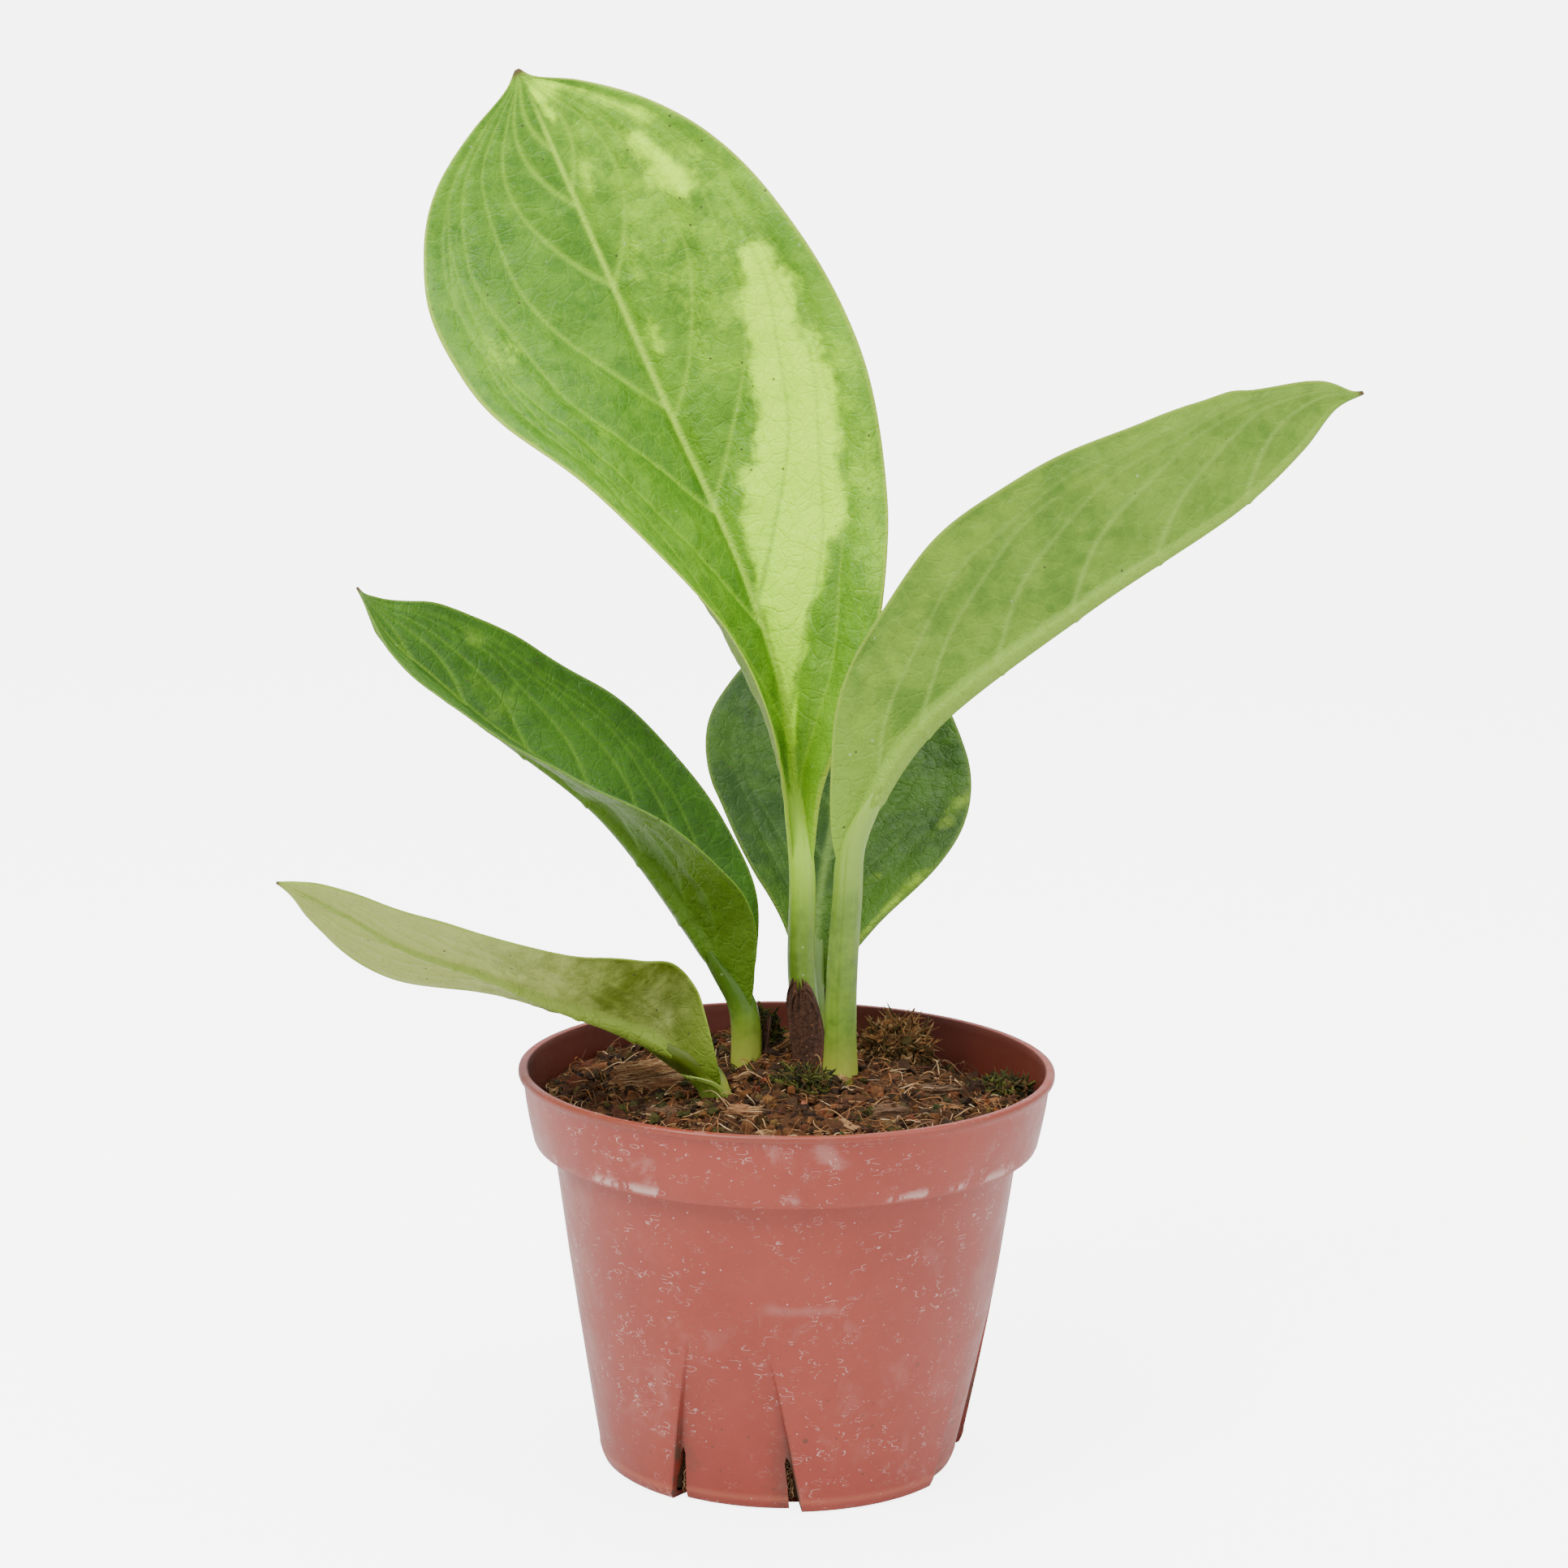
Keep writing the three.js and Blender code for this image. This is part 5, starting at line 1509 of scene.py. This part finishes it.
def rough_balls(count: int, detail: int, rough: float, rng: random.Random) -> list[Mesh]:
    """A few uneven grains.

    Args:
        count: how many.
        detail: the ball's subdivisions.
        rough: how uneven they are.
        rng: the random source.

    Returns:
        The grains, about one unit in radius.
    """
    grains = []
    for k in range(count):
        bm = bmesh.new()
        bmesh.ops.create_icosphere(bm, subdivisions=detail, radius=1)
        for vert in bm.verts:
            push = 1 + rough * noise.noise(vert.co * 1.7 + Vector((k * 7.1, 0, 0)))
            vert.co *= push * rng.uniform(1 - rough * 0.35, 1 + rough * 0.35)
        grains.append(to_mesh(bm, f"grain_{k}", 1.0))
    return grains


def chips(count: int, rng: random.Random) -> list[Mesh]:
    """Returns a few thin splintered slabs of about one unit."""
    slabs = []
    for k in range(count):
        bm = bmesh.new()
        bmesh.ops.create_cube(bm, size=2)
        bmesh.ops.subdivide_edges(bm, edges=bm.edges[:], cuts=1, use_grid_fill=True)
        for vert in bm.verts:
            vert.co += jitter(rng, 0.28)
            vert.co.z *= 0.8
        slabs.append(to_mesh(bm, f"chip_{k}", 1.0))
    return slabs


def turned_matrix(place: Sequence[float], size: Sequence[float], rng: random.Random,
                  level: float = 1.0) -> Matrix:
    """A random placing for a crumb.

    Args:
        place: where it goes.
        size: its three radii.
        rng: the random source.
        level: 1 for any turn, smaller to keep it lying flat.

    Returns:
        The matrix.
    """
    turn = Matrix.Rotation(rng.uniform(0, math.tau), 4, "Z")
    tilt = Matrix.Rotation(rng.uniform(-math.pi, math.pi) * level, 4, "X")
    lean = Matrix.Rotation(rng.uniform(-math.pi, math.pi) * level, 4, "Y")
    return Matrix.Translation(Vector(place)) @ turn @ tilt @ lean @ Matrix.Diagonal((*size, 1))


@dataclass
class PottingMix:
    """Coir and peat with crumbs, bark bits and fibres, heaped a little below the rim."""

    pot: Pot
    drop: float = 2.5
    edge_drop: float = 3.0
    left_dip: float = 4.0
    rear_dip: float = 9.0
    clearance: float = 0.3
    crumbs: int = 4200
    clods: int = 110
    splinters: int = 90
    fibres: int = 1700
    rim_fibres: int = 60
    fibres_per_slot: int = 14

    def height(self, x: Array, y: Array) -> Array:
        """Returns the smooth height of the mix, as the CAD part has it."""
        x, y = np.asarray(x, float), np.asarray(y, float)
        rim = self.pot.rim
        reach = np.minimum(np.hypot(x, y) / rim, 1)

        def lobe(angle: float) -> Array:
            a = math.radians(angle)
            return np.maximum((x * math.cos(a) + y * math.sin(a)) / rim, 0)

        clods = 0.5 * np.sin(x * 0.45 + 1) * np.cos(y * 0.4) + 0.35 * np.sin(x * 0.21 - y * 0.83)
        dips = self.left_dip * lobe(175) ** 1.5 + self.rear_dip * lobe(42) ** 2
        return self.pot.height - self.drop - self.edge_drop * reach ** 2 - dips + clods

    def build_body(self, material: Material) -> Object:
        """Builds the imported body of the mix, filling the pot, with a rough top.

        Args:
            material: its finish.

        Returns:
            The body.
        """
        pot, gap = self.pot, self.clearance
        wall = pot.wall + gap
        shelf = pot.band_bottom + pot.wall
        outline = [(0, pot.floor + gap), (12, pot.floor + gap), (25, pot.floor + gap),
                   (34, pot.floor + gap), (pot.base_radius - wall - pot.panel_depth, pot.floor + gap)]
        for z in np.arange(2.5, pot.band_bottom - 1, 2.4):
            outline.append((float(pot.body_radius(z)) - wall, float(z)))
        edge = pot.band_foot - wall
        outline += [(pot.shoulder - wall, shelf - 0.5), (pot.shoulder - wall + 0.3, shelf + gap),
                    (edge - 0.4, shelf + gap)]
        rings = 150
        marks = len(outline)
        outline += [(edge * share, shelf + 1 + 0.01 * k) for k, share in
                    enumerate(np.linspace(1, 1 / rings, rings))]
        outline.append((0, shelf + 3))
        bm = turned(outline, 420)
        points = vert_array(bm)
        r, turn = polar(points)
        top = points[:, 2] > outline[marks][1] - 0.005
        side = pot.pressed(turn, points[:, 2], r)
        angle = np.radians(np.where(top, turn, side[:, 0]))
        r = np.where(top | (r < 34), r, side[:, 1])
        x, y = r * np.cos(angle), r * np.sin(angle)
        level = np.maximum(self.height(x, y), shelf + 2)
        flat = np.stack([x, y, np.zeros_like(x)], axis=-1)
        rough = 1.7 * fractal(flat, 0.13, 4) + 0.9 * fractal(flat, 0.42, 3, 3)
        rough = rough + 0.35 * fractal(flat, 1.1, 2, 6)
        cells = np.array([noise.cell(Vector(p) * 0.45) for p in flat]) * 0.35
        near_edge = smoothstep(edge, edge - 3, r)
        lean = (level - shelf) / pot.band_height * pot.band_lean
        stretch = np.where(top, (edge + lean) / edge, 1)
        x, y = x * stretch, y * stretch
        z = np.where(top, level + (rough + cells) * (0.25 + 0.75 * near_edge) - 0.4, points[:, 2])
        side_rough = np.where(top | (r < 30), 0, 0.25 * fractal(points, 0.6, 2) - 0.25)
        x, y = x + side_rough * np.cos(angle), y + side_rough * np.sin(angle)
        move_verts(bm, np.stack([x, y, z], axis=-1))
        face_outwards(bm)
        mesh = to_mesh(bm, "mix_mesh")
        shade = 0.5 + 0.5 * np.clip(rough / 1.6, -1, 1)
        add_tints(mesh, np.array([0.06, 0.024, 0.008]) * (0.3 + 1.3 * shade[:, None]))
        return place_mesh(mesh, "potting_mix", material, ["soil"])

    def level(self, x: float, y: float) -> float:
        """Returns the height of the mix at one place, never below the pot's shelf."""
        return max(float(self.height(x, y)), self.pot.band_bottom + self.pot.wall + 2)

    def spot(self, rng: random.Random, reach: float = 55.0) -> tuple[float, float, float]:
        """Returns a random place on the mix."""
        r, a = reach * math.sqrt(rng.random()), rng.uniform(0, math.tau)
        x, y = r * math.cos(a), r * math.sin(a)
        return x, y, self.level(x, y)

    def build_crumbs(self, material: Material) -> Object:
        """Builds the loose crumbs of coir, peat and bark.

        Args:
            material: their finish.

        Returns:
            The crumbs.
        """
        rng = random.Random(11)
        grains = Crumbs(rough_balls(10, 1, 0.45, rng) + chips(5, rng))
        tones = ((0.06, 0.024, 0.008), (0.13, 0.05, 0.015), (0.02, 0.01, 0.005), (0.2, 0.085, 0.028),
                 (0.34, 0.17, 0.07), (0.045, 0.048, 0.01))
        for _ in range(self.crumbs):
            x, y, z = self.spot(rng)
            size = 0.35 + 1.15 * rng.random() ** 3
            radii = [size * rng.uniform(0.7, 1.3) for _ in range(3)]
            mossy = noise.noise(Vector((x * 0.07, y * 0.07, 5.0))) > 0.14
            tone = rng.choices(tones, (1, 1, 5, 0.5, 0.2, 7) if mossy else (5, 5, 6, 2, 0.5, 1))[0]
            grains.add(rng.randrange(12), turned_matrix((x, y, z + rng.uniform(-0.8, 0.9)), radii, rng),
                       tuple(c * rng.uniform(0.7, 1.3) for c in tone))
        for _ in range(self.clods):
            x, y, z = self.spot(rng, 52)
            radii = [rng.uniform(1.2, 2.8) for _ in range(3)]
            grains.add(rng.randrange(10), turned_matrix((x, y, z - 0.3), radii, rng), rng.choice(tones[:3]))
        for _ in range(self.splinters):
            x, y, z = self.spot(rng, 53)
            long = rng.uniform(1.2, 3.2)
            radii = (long, long * rng.uniform(0.35, 0.7), long * rng.uniform(0.15, 0.3))
            tone = rng.choice(((0.16, 0.06, 0.02), (0.26, 0.11, 0.04), (0.05, 0.024, 0.01), (0.4, 0.22, 0.1)))
            grains.add(10 + rng.randrange(5), turned_matrix((x, y, z + 0.6), radii, rng, 0.12), tone)
        return place_mesh(grains.mesh("crumbs_mesh"), "mix_crumbs", material, smooth=False)

    def build_fibres(self, material: Material) -> Object:
        """Builds the coir fibres that lie on the mix, stand out of it and hang in the slots.

        Args:
            material: their finish.

        Returns:
            The fibres.
        """
        rng = random.Random(23)
        strands = Strands()
        tones = ((0.5, 0.3, 0.14), (0.2, 0.09, 0.035), (0.75, 0.56, 0.32), (0.08, 0.036, 0.016),
                 (0.34, 0.14, 0.045))
        for _ in range(self.fibres):
            x, y, _ = self.spot(rng, 54)
            strands.add(self.strand(rng, x, y, rng.uniform(2.5, 11), rng.uniform(0.1, 1.0) ** 2 * 4.0),
                        rng.uniform(0.05, 0.14), rng.choices(tones, (2, 4, 1.6, 7, 3))[0])
        for _ in range(self.rim_fibres):
            a = rng.uniform(0, math.tau)
            r = rng.uniform(50, 55)
            x, y = r * math.cos(a), r * math.sin(a)
            strands.add(self.strand(rng, x, y, rng.uniform(6, 14), rng.uniform(3, 7)),
                        rng.uniform(0.04, 0.07), rng.choice(tones))
        strands.lines.extend(self.slot_fibres(rng))
        return place_mesh(strands.mesh("fibres_mesh"), "mix_fibres", material)

    def strand(self, rng: random.Random, x: float, y: float, length: float, lift: float) -> Array:
        """One wandering fibre.

        Args:
            rng: the random source.
            x: where it starts.
            y: where it starts.
            length: its length.
            lift: how high its middle rises over the mix.

        Returns:
            Its points.
        """
        heading, bend = rng.uniform(0, math.tau), rng.uniform(-0.4, 0.4)
        points, count = [], 9
        limit = self.pot.band_foot - self.pot.wall - 1.5
        for i in range(count):
            s = i / (count - 1)
            r = math.hypot(x, y)
            if r > limit:
                x, y = x * limit / r, y * limit / r
            points.append((x, y, self.level(x, y) + 0.3 + lift * math.sin(s * math.pi * 0.8) * s))
            heading += bend + rng.uniform(-0.35, 0.35)
            x += math.cos(heading) * length / count
            y += math.sin(heading) * length / count
        return np.array(points)

    def slot_fibres(self, rng: random.Random) -> list[tuple[Array, float, Color]]:
        """Returns the matted fibres that show in the drain slots."""
        found = []
        pot = self.pot
        for index in range(4):
            for side in (-1, 1):
                for _ in range(self.fibres_per_slot):
                    z = rng.uniform(0.6, pot.slot_height - 1)
                    edge = float(pot.panel_edge(z)) - 1.3
                    angle = math.radians(-90 + pot.panel_centre + 90 * index + side * edge)
                    r = float(pot.body_radius(z)) - pot.wall - pot.panel_depth + rng.uniform(0.0, 0.7)
                    points = []
                    for i in range(6):
                        a = angle + rng.uniform(-0.018, 0.018)
                        height = z + (i - 2.5) * rng.uniform(0.2, 0.9)
                        points.append((r * math.cos(a), r * math.sin(a), height))
                    low = min(p[2] for p in points)
                    lift = max(0.2 - low, 0)
                    points = [(px, py, pz + lift) for px, py, pz in points]
                    found.append((np.array(points), rng.uniform(0.08, 0.16),
                                  rng.choice(((0.45, 0.3, 0.16), (0.3, 0.17, 0.08), (0.2, 0.11, 0.05)))))
        return found


# ---------------- loose pieces


class Growth(Enum):
    """What a loose piece in the mix is made of."""

    GREEN_MOSS = "moss"
    DRY_MOSS = "dried_moss"
    HUSK = "husk"
    BARK = "bark"


@dataclass
class Lump:
    """A loose piece lying in the mix, placed on the CAD piece of the same name."""

    name: str
    growth: Growth
    strands: int
    spread: float
    seed: int
    turn: float = 0.0
    low: Vector = field(init=False)
    high: Vector = field(init=False)

    def __post_init__(self) -> None:
        """Takes the piece's place and size from the frame."""
        low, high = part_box(self.name)
        self.low, self.high = low / MM, high / MM

    @property
    def centre(self) -> Vector:
        """Returns the middle of the piece."""
        return (self.low + self.high) / 2

    @property
    def radii(self) -> Vector:
        """Returns half of the piece's size each way."""
        return (self.high - self.low) / 2

    def build(self, materials: dict[Growth, Material]) -> list[Object]:
        """Builds the piece and what grows on it.

        Args:
            materials: the finish of each growth.

        Returns:
            The pieces made.
        """
        block = self.growth in (Growth.HUSK, Growth.BARK)
        core = self.block_core() if block else self.moss_core()
        made = [place_mesh(core, self.name + "_core", materials[self.growth],
                           [self.name], smooth=not block)]
        if self.strands:
            rng = random.Random(self.seed)
            hairs = Strands()
            for _ in range(self.strands):
                if block:
                    self.add_grain_hair(hairs, rng)
                else:
                    self.add_moss_strand(hairs, rng)
            made.append(place_mesh(hairs.mesh(self.name + "_hair_mesh"), self.name + "_hair",
                                   materials[self.growth]))
        if not block:
            made.append(place_mesh(self.moss_scales().mesh(self.name + "_scales_mesh"), self.name + "_scales",
                                   materials[self.growth], smooth=False))
        return made

    def block_core(self) -> Mesh:
        """Returns a splintered block with a grain along its length."""
        bm = bmesh.new()
        bmesh.ops.create_cube(bm, size=2)
        bmesh.ops.bevel(bm, geom=bm.edges[:] + bm.verts[:], offset=0.22, segments=2, profile=0.5,
                        affect="EDGES", material=-1)
        bmesh.ops.subdivide_edges(bm, edges=bm.edges[:], cuts=7, use_grid_fill=True)
        radii = self.radii
        turn = Matrix.Rotation(math.radians(self.turn), 3, "Z")
        for vert in bm.verts:
            p = vert.co.copy()
            seed = Vector((self.seed * 5.3, self.seed * 2.1, 0))
            taper = 1 - 0.25 * noise.noise(Vector((p.x * 0.8, 0, 0)) + seed) - 0.12 * abs(p.x)
            grain = 0.09 * noise.noise(Vector((p.x * 0.8, p.y * 6, p.z * 6)) + seed)
            broad = 0.2 * noise.noise(p * 1.1 + seed)
            p = Vector((p.x * (1 + 0.12 * noise.noise(Vector((p.y * 7, p.z * 7, 0)) + seed)),
                        p.y * taper, p.z * taper)) * (0.84 + grain + broad)
            p = turn @ scaled(p, radii)
            vert.co = p + self.centre
        face_outwards(bm)
        mesh = to_mesh(bm, self.name + "_core_mesh")
        tone = (0.26, 0.12, 0.05) if self.growth is Growth.HUSK else (0.13, 0.07, 0.035)
        add_tints(mesh, np.repeat([tone], len(mesh.vertices), axis=0))
        return mesh

    def moss_core(self) -> Mesh:
        """Returns a soft crumbly mound that the strands grow from."""
        bm = bmesh.new()
        bmesh.ops.create_icosphere(bm, subdivisions=5, radius=1)
        radii = self.radii
        seed = Vector((self.seed * 3.7, 0, self.seed * 1.3))
        for vert in bm.verts:
            p = vert.co
            push = 0.8 + 0.25 * noise.noise(p * 1.6 + seed) + 0.16 * noise.noise(p * 5 + seed)
            push += 0.1 * noise.noise(p * 13 + seed)
            vert.co = scaled(p, radii) * push + self.centre
        mesh = to_mesh(bm, self.name + "_core_mesh")
        tone = (0.055, 0.055, 0.014) if self.growth is Growth.GREEN_MOSS else (0.16, 0.085, 0.03)
        add_tints(mesh, np.repeat([tone], len(mesh.vertices), axis=0))
        return mesh

    def moss_tones(self) -> Sequence[Color]:
        """Returns the colours that the moss takes."""
        if self.growth is Growth.GREEN_MOSS:
            return ((0.05, 0.055, 0.01), (0.13, 0.14, 0.022), (0.02, 0.02, 0.008), (0.12, 0.06, 0.02))
        return ((0.3, 0.14, 0.045), (0.16, 0.075, 0.025), (0.42, 0.27, 0.12), (0.08, 0.06, 0.015))

    def moss_scales(self) -> Crumbs:
        """Returns the curled scales and crumbs that cover the mound."""
        rng = random.Random(self.seed + 40)
        scales = Crumbs(chips(4, rng) + rough_balls(4, 1, 0.6, rng))
        radii = self.radii
        for _ in range(self.strands):
            out = Vector((rng.gauss(0, 1), rng.gauss(0, 1), rng.gauss(0.5, 0.7))).normalized()
            place = scaled(out, radii) * rng.uniform(0.65, 1.05) + self.centre
            long = rng.uniform(0.4, 1.3)
            matrix = turned_matrix(tuple(place), (long, long * 0.7, long * 0.25), rng)
            scales.add(rng.randrange(8), matrix, rng.choice(self.moss_tones()))
        return scales

    def add_moss_strand(self, hairs: Strands, rng: random.Random) -> None:
        """Adds one short curling strand that starts on the mound."""
        out = Vector((rng.gauss(0, 1), rng.gauss(0, 1), rng.gauss(0.35, 0.8))).normalized()
        radii, centre = self.radii, self.centre
        place = scaled(out, radii) * rng.uniform(0.5, 0.85) + centre
        way = (out + jitter(rng, 0.9)).normalized()
        curl = jitter(rng, 1)
        step = rng.uniform(0.35, 1.0) * self.spread / 6
        points = []
        for _ in range(7):
            points.append(tuple(place))
            way = (way + curl * 0.5).normalized()
            place = place + way * step
        hairs.add(np.array(points), rng.uniform(0.12, 0.3), rng.choice(self.moss_tones()))

    def add_grain_hair(self, hairs: Strands, rng: random.Random) -> None:
        """Adds one fibre that lies along the block and lifts off at its end."""
        radii, centre = self.radii, self.centre
        turn = Matrix.Rotation(math.radians(self.turn), 3, "Z")
        y, z = rng.uniform(-0.8, 0.8), rng.uniform(-0.3, 0.95)
        if rng.random() < 0.5:
            z = 0.84
        else:
            y = math.copysign(0.84, y)
        x0, reach = rng.uniform(-1, 0.2), rng.uniform(0.5, 1.2)
        lift = rng.uniform(0, 0.3)
        points = []
        for i in range(8):
            s = i / 7
            local = Vector(((x0 + reach * s) * radii.x, y * radii.y, z * radii.z + lift * radii.z * s * s))
            local += jitter(rng, 0.12)
            points.append(tuple(turn @ local + centre))
        if self.growth is Growth.HUSK:
            tone = rng.choice(((0.45, 0.25, 0.11), (0.3, 0.14, 0.06), (0.6, 0.42, 0.24)))
        else:
            tone = (0.2, 0.12, 0.07)
        hairs.add(np.array(points), rng.uniform(0.08, 0.18), tone)


# ---------------- studio


@dataclass
class Studio:
    """A pale sweep with soft overhead light, and the camera in front."""

    eye: tuple[float, float, float] = (0.0, -0.842, 0.3117)
    pitch: float = 10.618
    yaw: float = -0.089
    roll: float = 0.641
    lens: float = 89.14

    def build(self) -> None:
        """Builds the sweep, the lights and the camera."""
        self.build_sweep()
        self.light("key", (-0.75, -0.75, 1.25), 0.9, 25.0, (1.0, 0.985, 0.96))
        self.light("fill", (1.1, -0.6, 0.75), 1.2, 10.0, (0.97, 0.985, 1.0))
        self.light("top", (0.0, 0.1, 1.5), 1.4, 20.0, (1.0, 1.0, 1.0))
        world = bpy.data.worlds.new("studio_world")
        world.use_nodes = True
        world.node_tree.nodes["Background"].inputs["Color"].default_value = (1, 1, 1, 1)
        world.node_tree.nodes["Background"].inputs["Strength"].default_value = 0.8
        bpy.context.scene.world = world
        self.build_camera()

    def build_sweep(self) -> None:
        """Builds the floor that curves up into the backdrop."""
        bm = bmesh.new()
        bmesh.ops.create_grid(bm, x_segments=2, y_segments=60, size=1)
        for vert in bm.verts:
            s = (vert.co.y + 1) / 2
            y = -2.5 + s * 5.5
            rise = max(y - 1.2, 0)
            bend = min(rise / 0.9, math.pi / 2)
            vert.co = (vert.co.x * 5, min(y, 1.2 + 0.9 * math.sin(bend)),
                       -0.0002 + (0.9 * (1 - math.cos(bend)) + max(rise - 1.414, 0) * 1.5))
        mesh = to_mesh(bm, "sweep_mesh", 1.0)
        material, n, shader = new_material("studio_paper")
        seen = n.add("LightPath").outputs["Is Camera Ray"]
        n.fill(shader, Base_Color=(0.88, 0.88, 0.87), Roughness=0.8, Emission_Color=(1, 1, 0.995),
               Emission_Strength=n.times(seen, 5.0))
        mesh.materials.append(material)
        add_object("sweep", mesh)

    def light(self, name: str, place: tuple[float, float, float], size: float, power: float,
              color: Color) -> None:
        """Adds a soft light aimed at the plant."""
        data = bpy.data.lights.new(name, "AREA")
        data.shape, data.size, data.energy, data.color = "DISK", size, power, color
        lamp = add_object(name, data)
        lamp.location = place
        lamp.rotation_euler = (Vector((0, 0, 0.14)) - Vector(place)).to_track_quat("-Z", "Y").to_euler()

    def build_camera(self) -> None:
        """Adds the camera, turned about its own axis by the roll."""
        yaw, pitch, roll = (math.radians(v) for v in (self.yaw, self.pitch, self.roll))
        ahead = Vector((math.sin(yaw) * math.cos(pitch), math.cos(yaw) * math.cos(pitch), -math.sin(pitch)))
        right = ahead.cross(Vector((0, 0, 1))).normalized()
        up = right.cross(ahead)
        turned_right = right * math.cos(roll) + up * math.sin(roll)
        turned_up = up * math.cos(roll) - right * math.sin(roll)
        camera = add_object("camera", bpy.data.cameras.new("camera"))
        camera.data.lens = self.lens
        camera.data.sensor_width = 36.0
        rows = Matrix((turned_right, turned_up, -ahead)).transposed().to_4x4()
        camera.matrix_world = Matrix.Translation(Vector(self.eye)) @ rows
        bpy.context.scene.camera = camera


# ---------------- the whole plant


def sheath_table(leaves: dict[str, Leaf]) -> list[Sheath]:
    """Returns the sheaths round the petiole bases."""
    return [
        Sheath("front_cataphyll", leaves["tall_leaf"], -100, 170, 21, 0.9, 0.6, "cataphyll"),
        Sheath("rear_cataphyll", leaves["rear_leaf"], 70, 150, 24, 1.2, 0.6, "cataphyll"),
        Sheath("side_cataphyll", leaves["left_leaf"], 15, 90, 12, 1.4, 0.6, "cataphyll"),
        Sheath("green_bract", leaves["low_leaf"], -125, 150, 8.5, 3.2, 0.7, "bract", crinkle=0.15),
    ]


def lump_table() -> list[Lump]:
    """Returns the loose pieces lying in the mix."""
    return [
        Lump("husk_chip", Growth.HUSK, 170, 6, 1, 12),
        Lump("husk_bit", Growth.HUSK, 50, 4, 2, -18),
        Lump("centre_moss", Growth.GREEN_MOSS, 700, 5, 3),
        Lump("rear_moss", Growth.GREEN_MOSS, 300, 5, 4),
        Lump("dried_moss", Growth.DRY_MOSS, 520, 8, 5),
        Lump("rim_moss", Growth.GREEN_MOSS, 420, 5, 6),
        Lump("bark_chip_1", Growth.BARK, 14, 3, 7, 20),
        Lump("bark_chip_2", Growth.BARK, 14, 3, 8, -35),
        Lump("bark_chip_3", Growth.BARK, 14, 3, 9, 8),
    ]


def dress_rootstock(material: Material) -> None:
    """Gives the buried rootstock, whose CAD shape stays, its bark."""
    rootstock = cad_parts["rootstock"]
    rootstock.data.materials.clear()
    rootstock.data.materials.append(material)
    LOG.info("rootstock: dressed")


def main() -> None:
    """Builds the plant, its pot and the studio."""
    effects = Effects()
    paper = HuskFinish("cataphyll_paper", (0.04, 0.014, 0.006), (0.16, 0.06, 0.025), (0.3, 0.14, 0.06),
                       (1.0, 1.0, 0.1)).make(effects)
    bract = StalkFinish("bract_green", (0.16, 0.26, 0.03), (0.28, 0.38, 0.06), (0.26, 0.28, 0.05),
                        (0.28, 0.38, 0.06)).make(effects)
    coir = TintedFinish("coir_mix", (0.3, 0.2, 0.12), (0.3, 0.14, 0.06)).make(effects)
    fibre = TintedFinish("coir_fibre", (0.6, 0.45, 0.3), (0.6, 0.38, 0.2), rough=0.7,
                         relief=0.0001).make(effects)
    growths = {
        Growth.GREEN_MOSS: TintedFinish("green_moss", (0.4, 0.4, 0.25), (0.14, 0.14, 0.05)).make(effects),
        Growth.DRY_MOSS: TintedFinish("dried_moss", (0.45, 0.35, 0.25), (0.4, 0.26, 0.12)).make(effects),
        Growth.HUSK: TintedFinish("husk_fibre", (0.5, 0.36, 0.25), (0.55, 0.38, 0.22)).make(effects),
        Growth.BARK: TintedFinish("bark", (0.35, 0.25, 0.2), (0.24, 0.15, 0.09)).make(effects),
    }
    wood = HuskFinish("rootstock_bark", (0.16, 0.09, 0.045), (0.34, 0.23, 0.12),
                      (0.45, 0.36, 0.2)).make(effects)
    leaves = {leaf.name: leaf for leaf in leaf_table()}
    for leaf in leaves.values():
        leaf.build_blade(effects)
        top = leaf.finish.under if leaf.slot in ("left_blade", "low_blade") else leaf.finish.rib
        stalk = StalkFinish(leaf.name + "_stalk_green", (0.08, 0.17, 0.008), (0.17, 0.29, 0.02),
                            (0.3, 0.34, 0.04), top)
        leaf.build_petiole(stalk.make(effects))
    for sheath in sheath_table(leaves):
        sheath.build(bract if sheath.slot == "bract" else paper)
    pot = Pot()
    pot.build(PotFinish().make(effects))
    mix = PottingMix(pot)
    mix.build_body(coir)
    mix.build_crumbs(coir)
    mix.build_fibres(fibre)
    for lump in lump_table():
        lump.build(growths)
    dress_rootstock(wood)
    Studio().build()


if __name__ == "__main__":
    logging.basicConfig(level=logging.INFO)
    main()
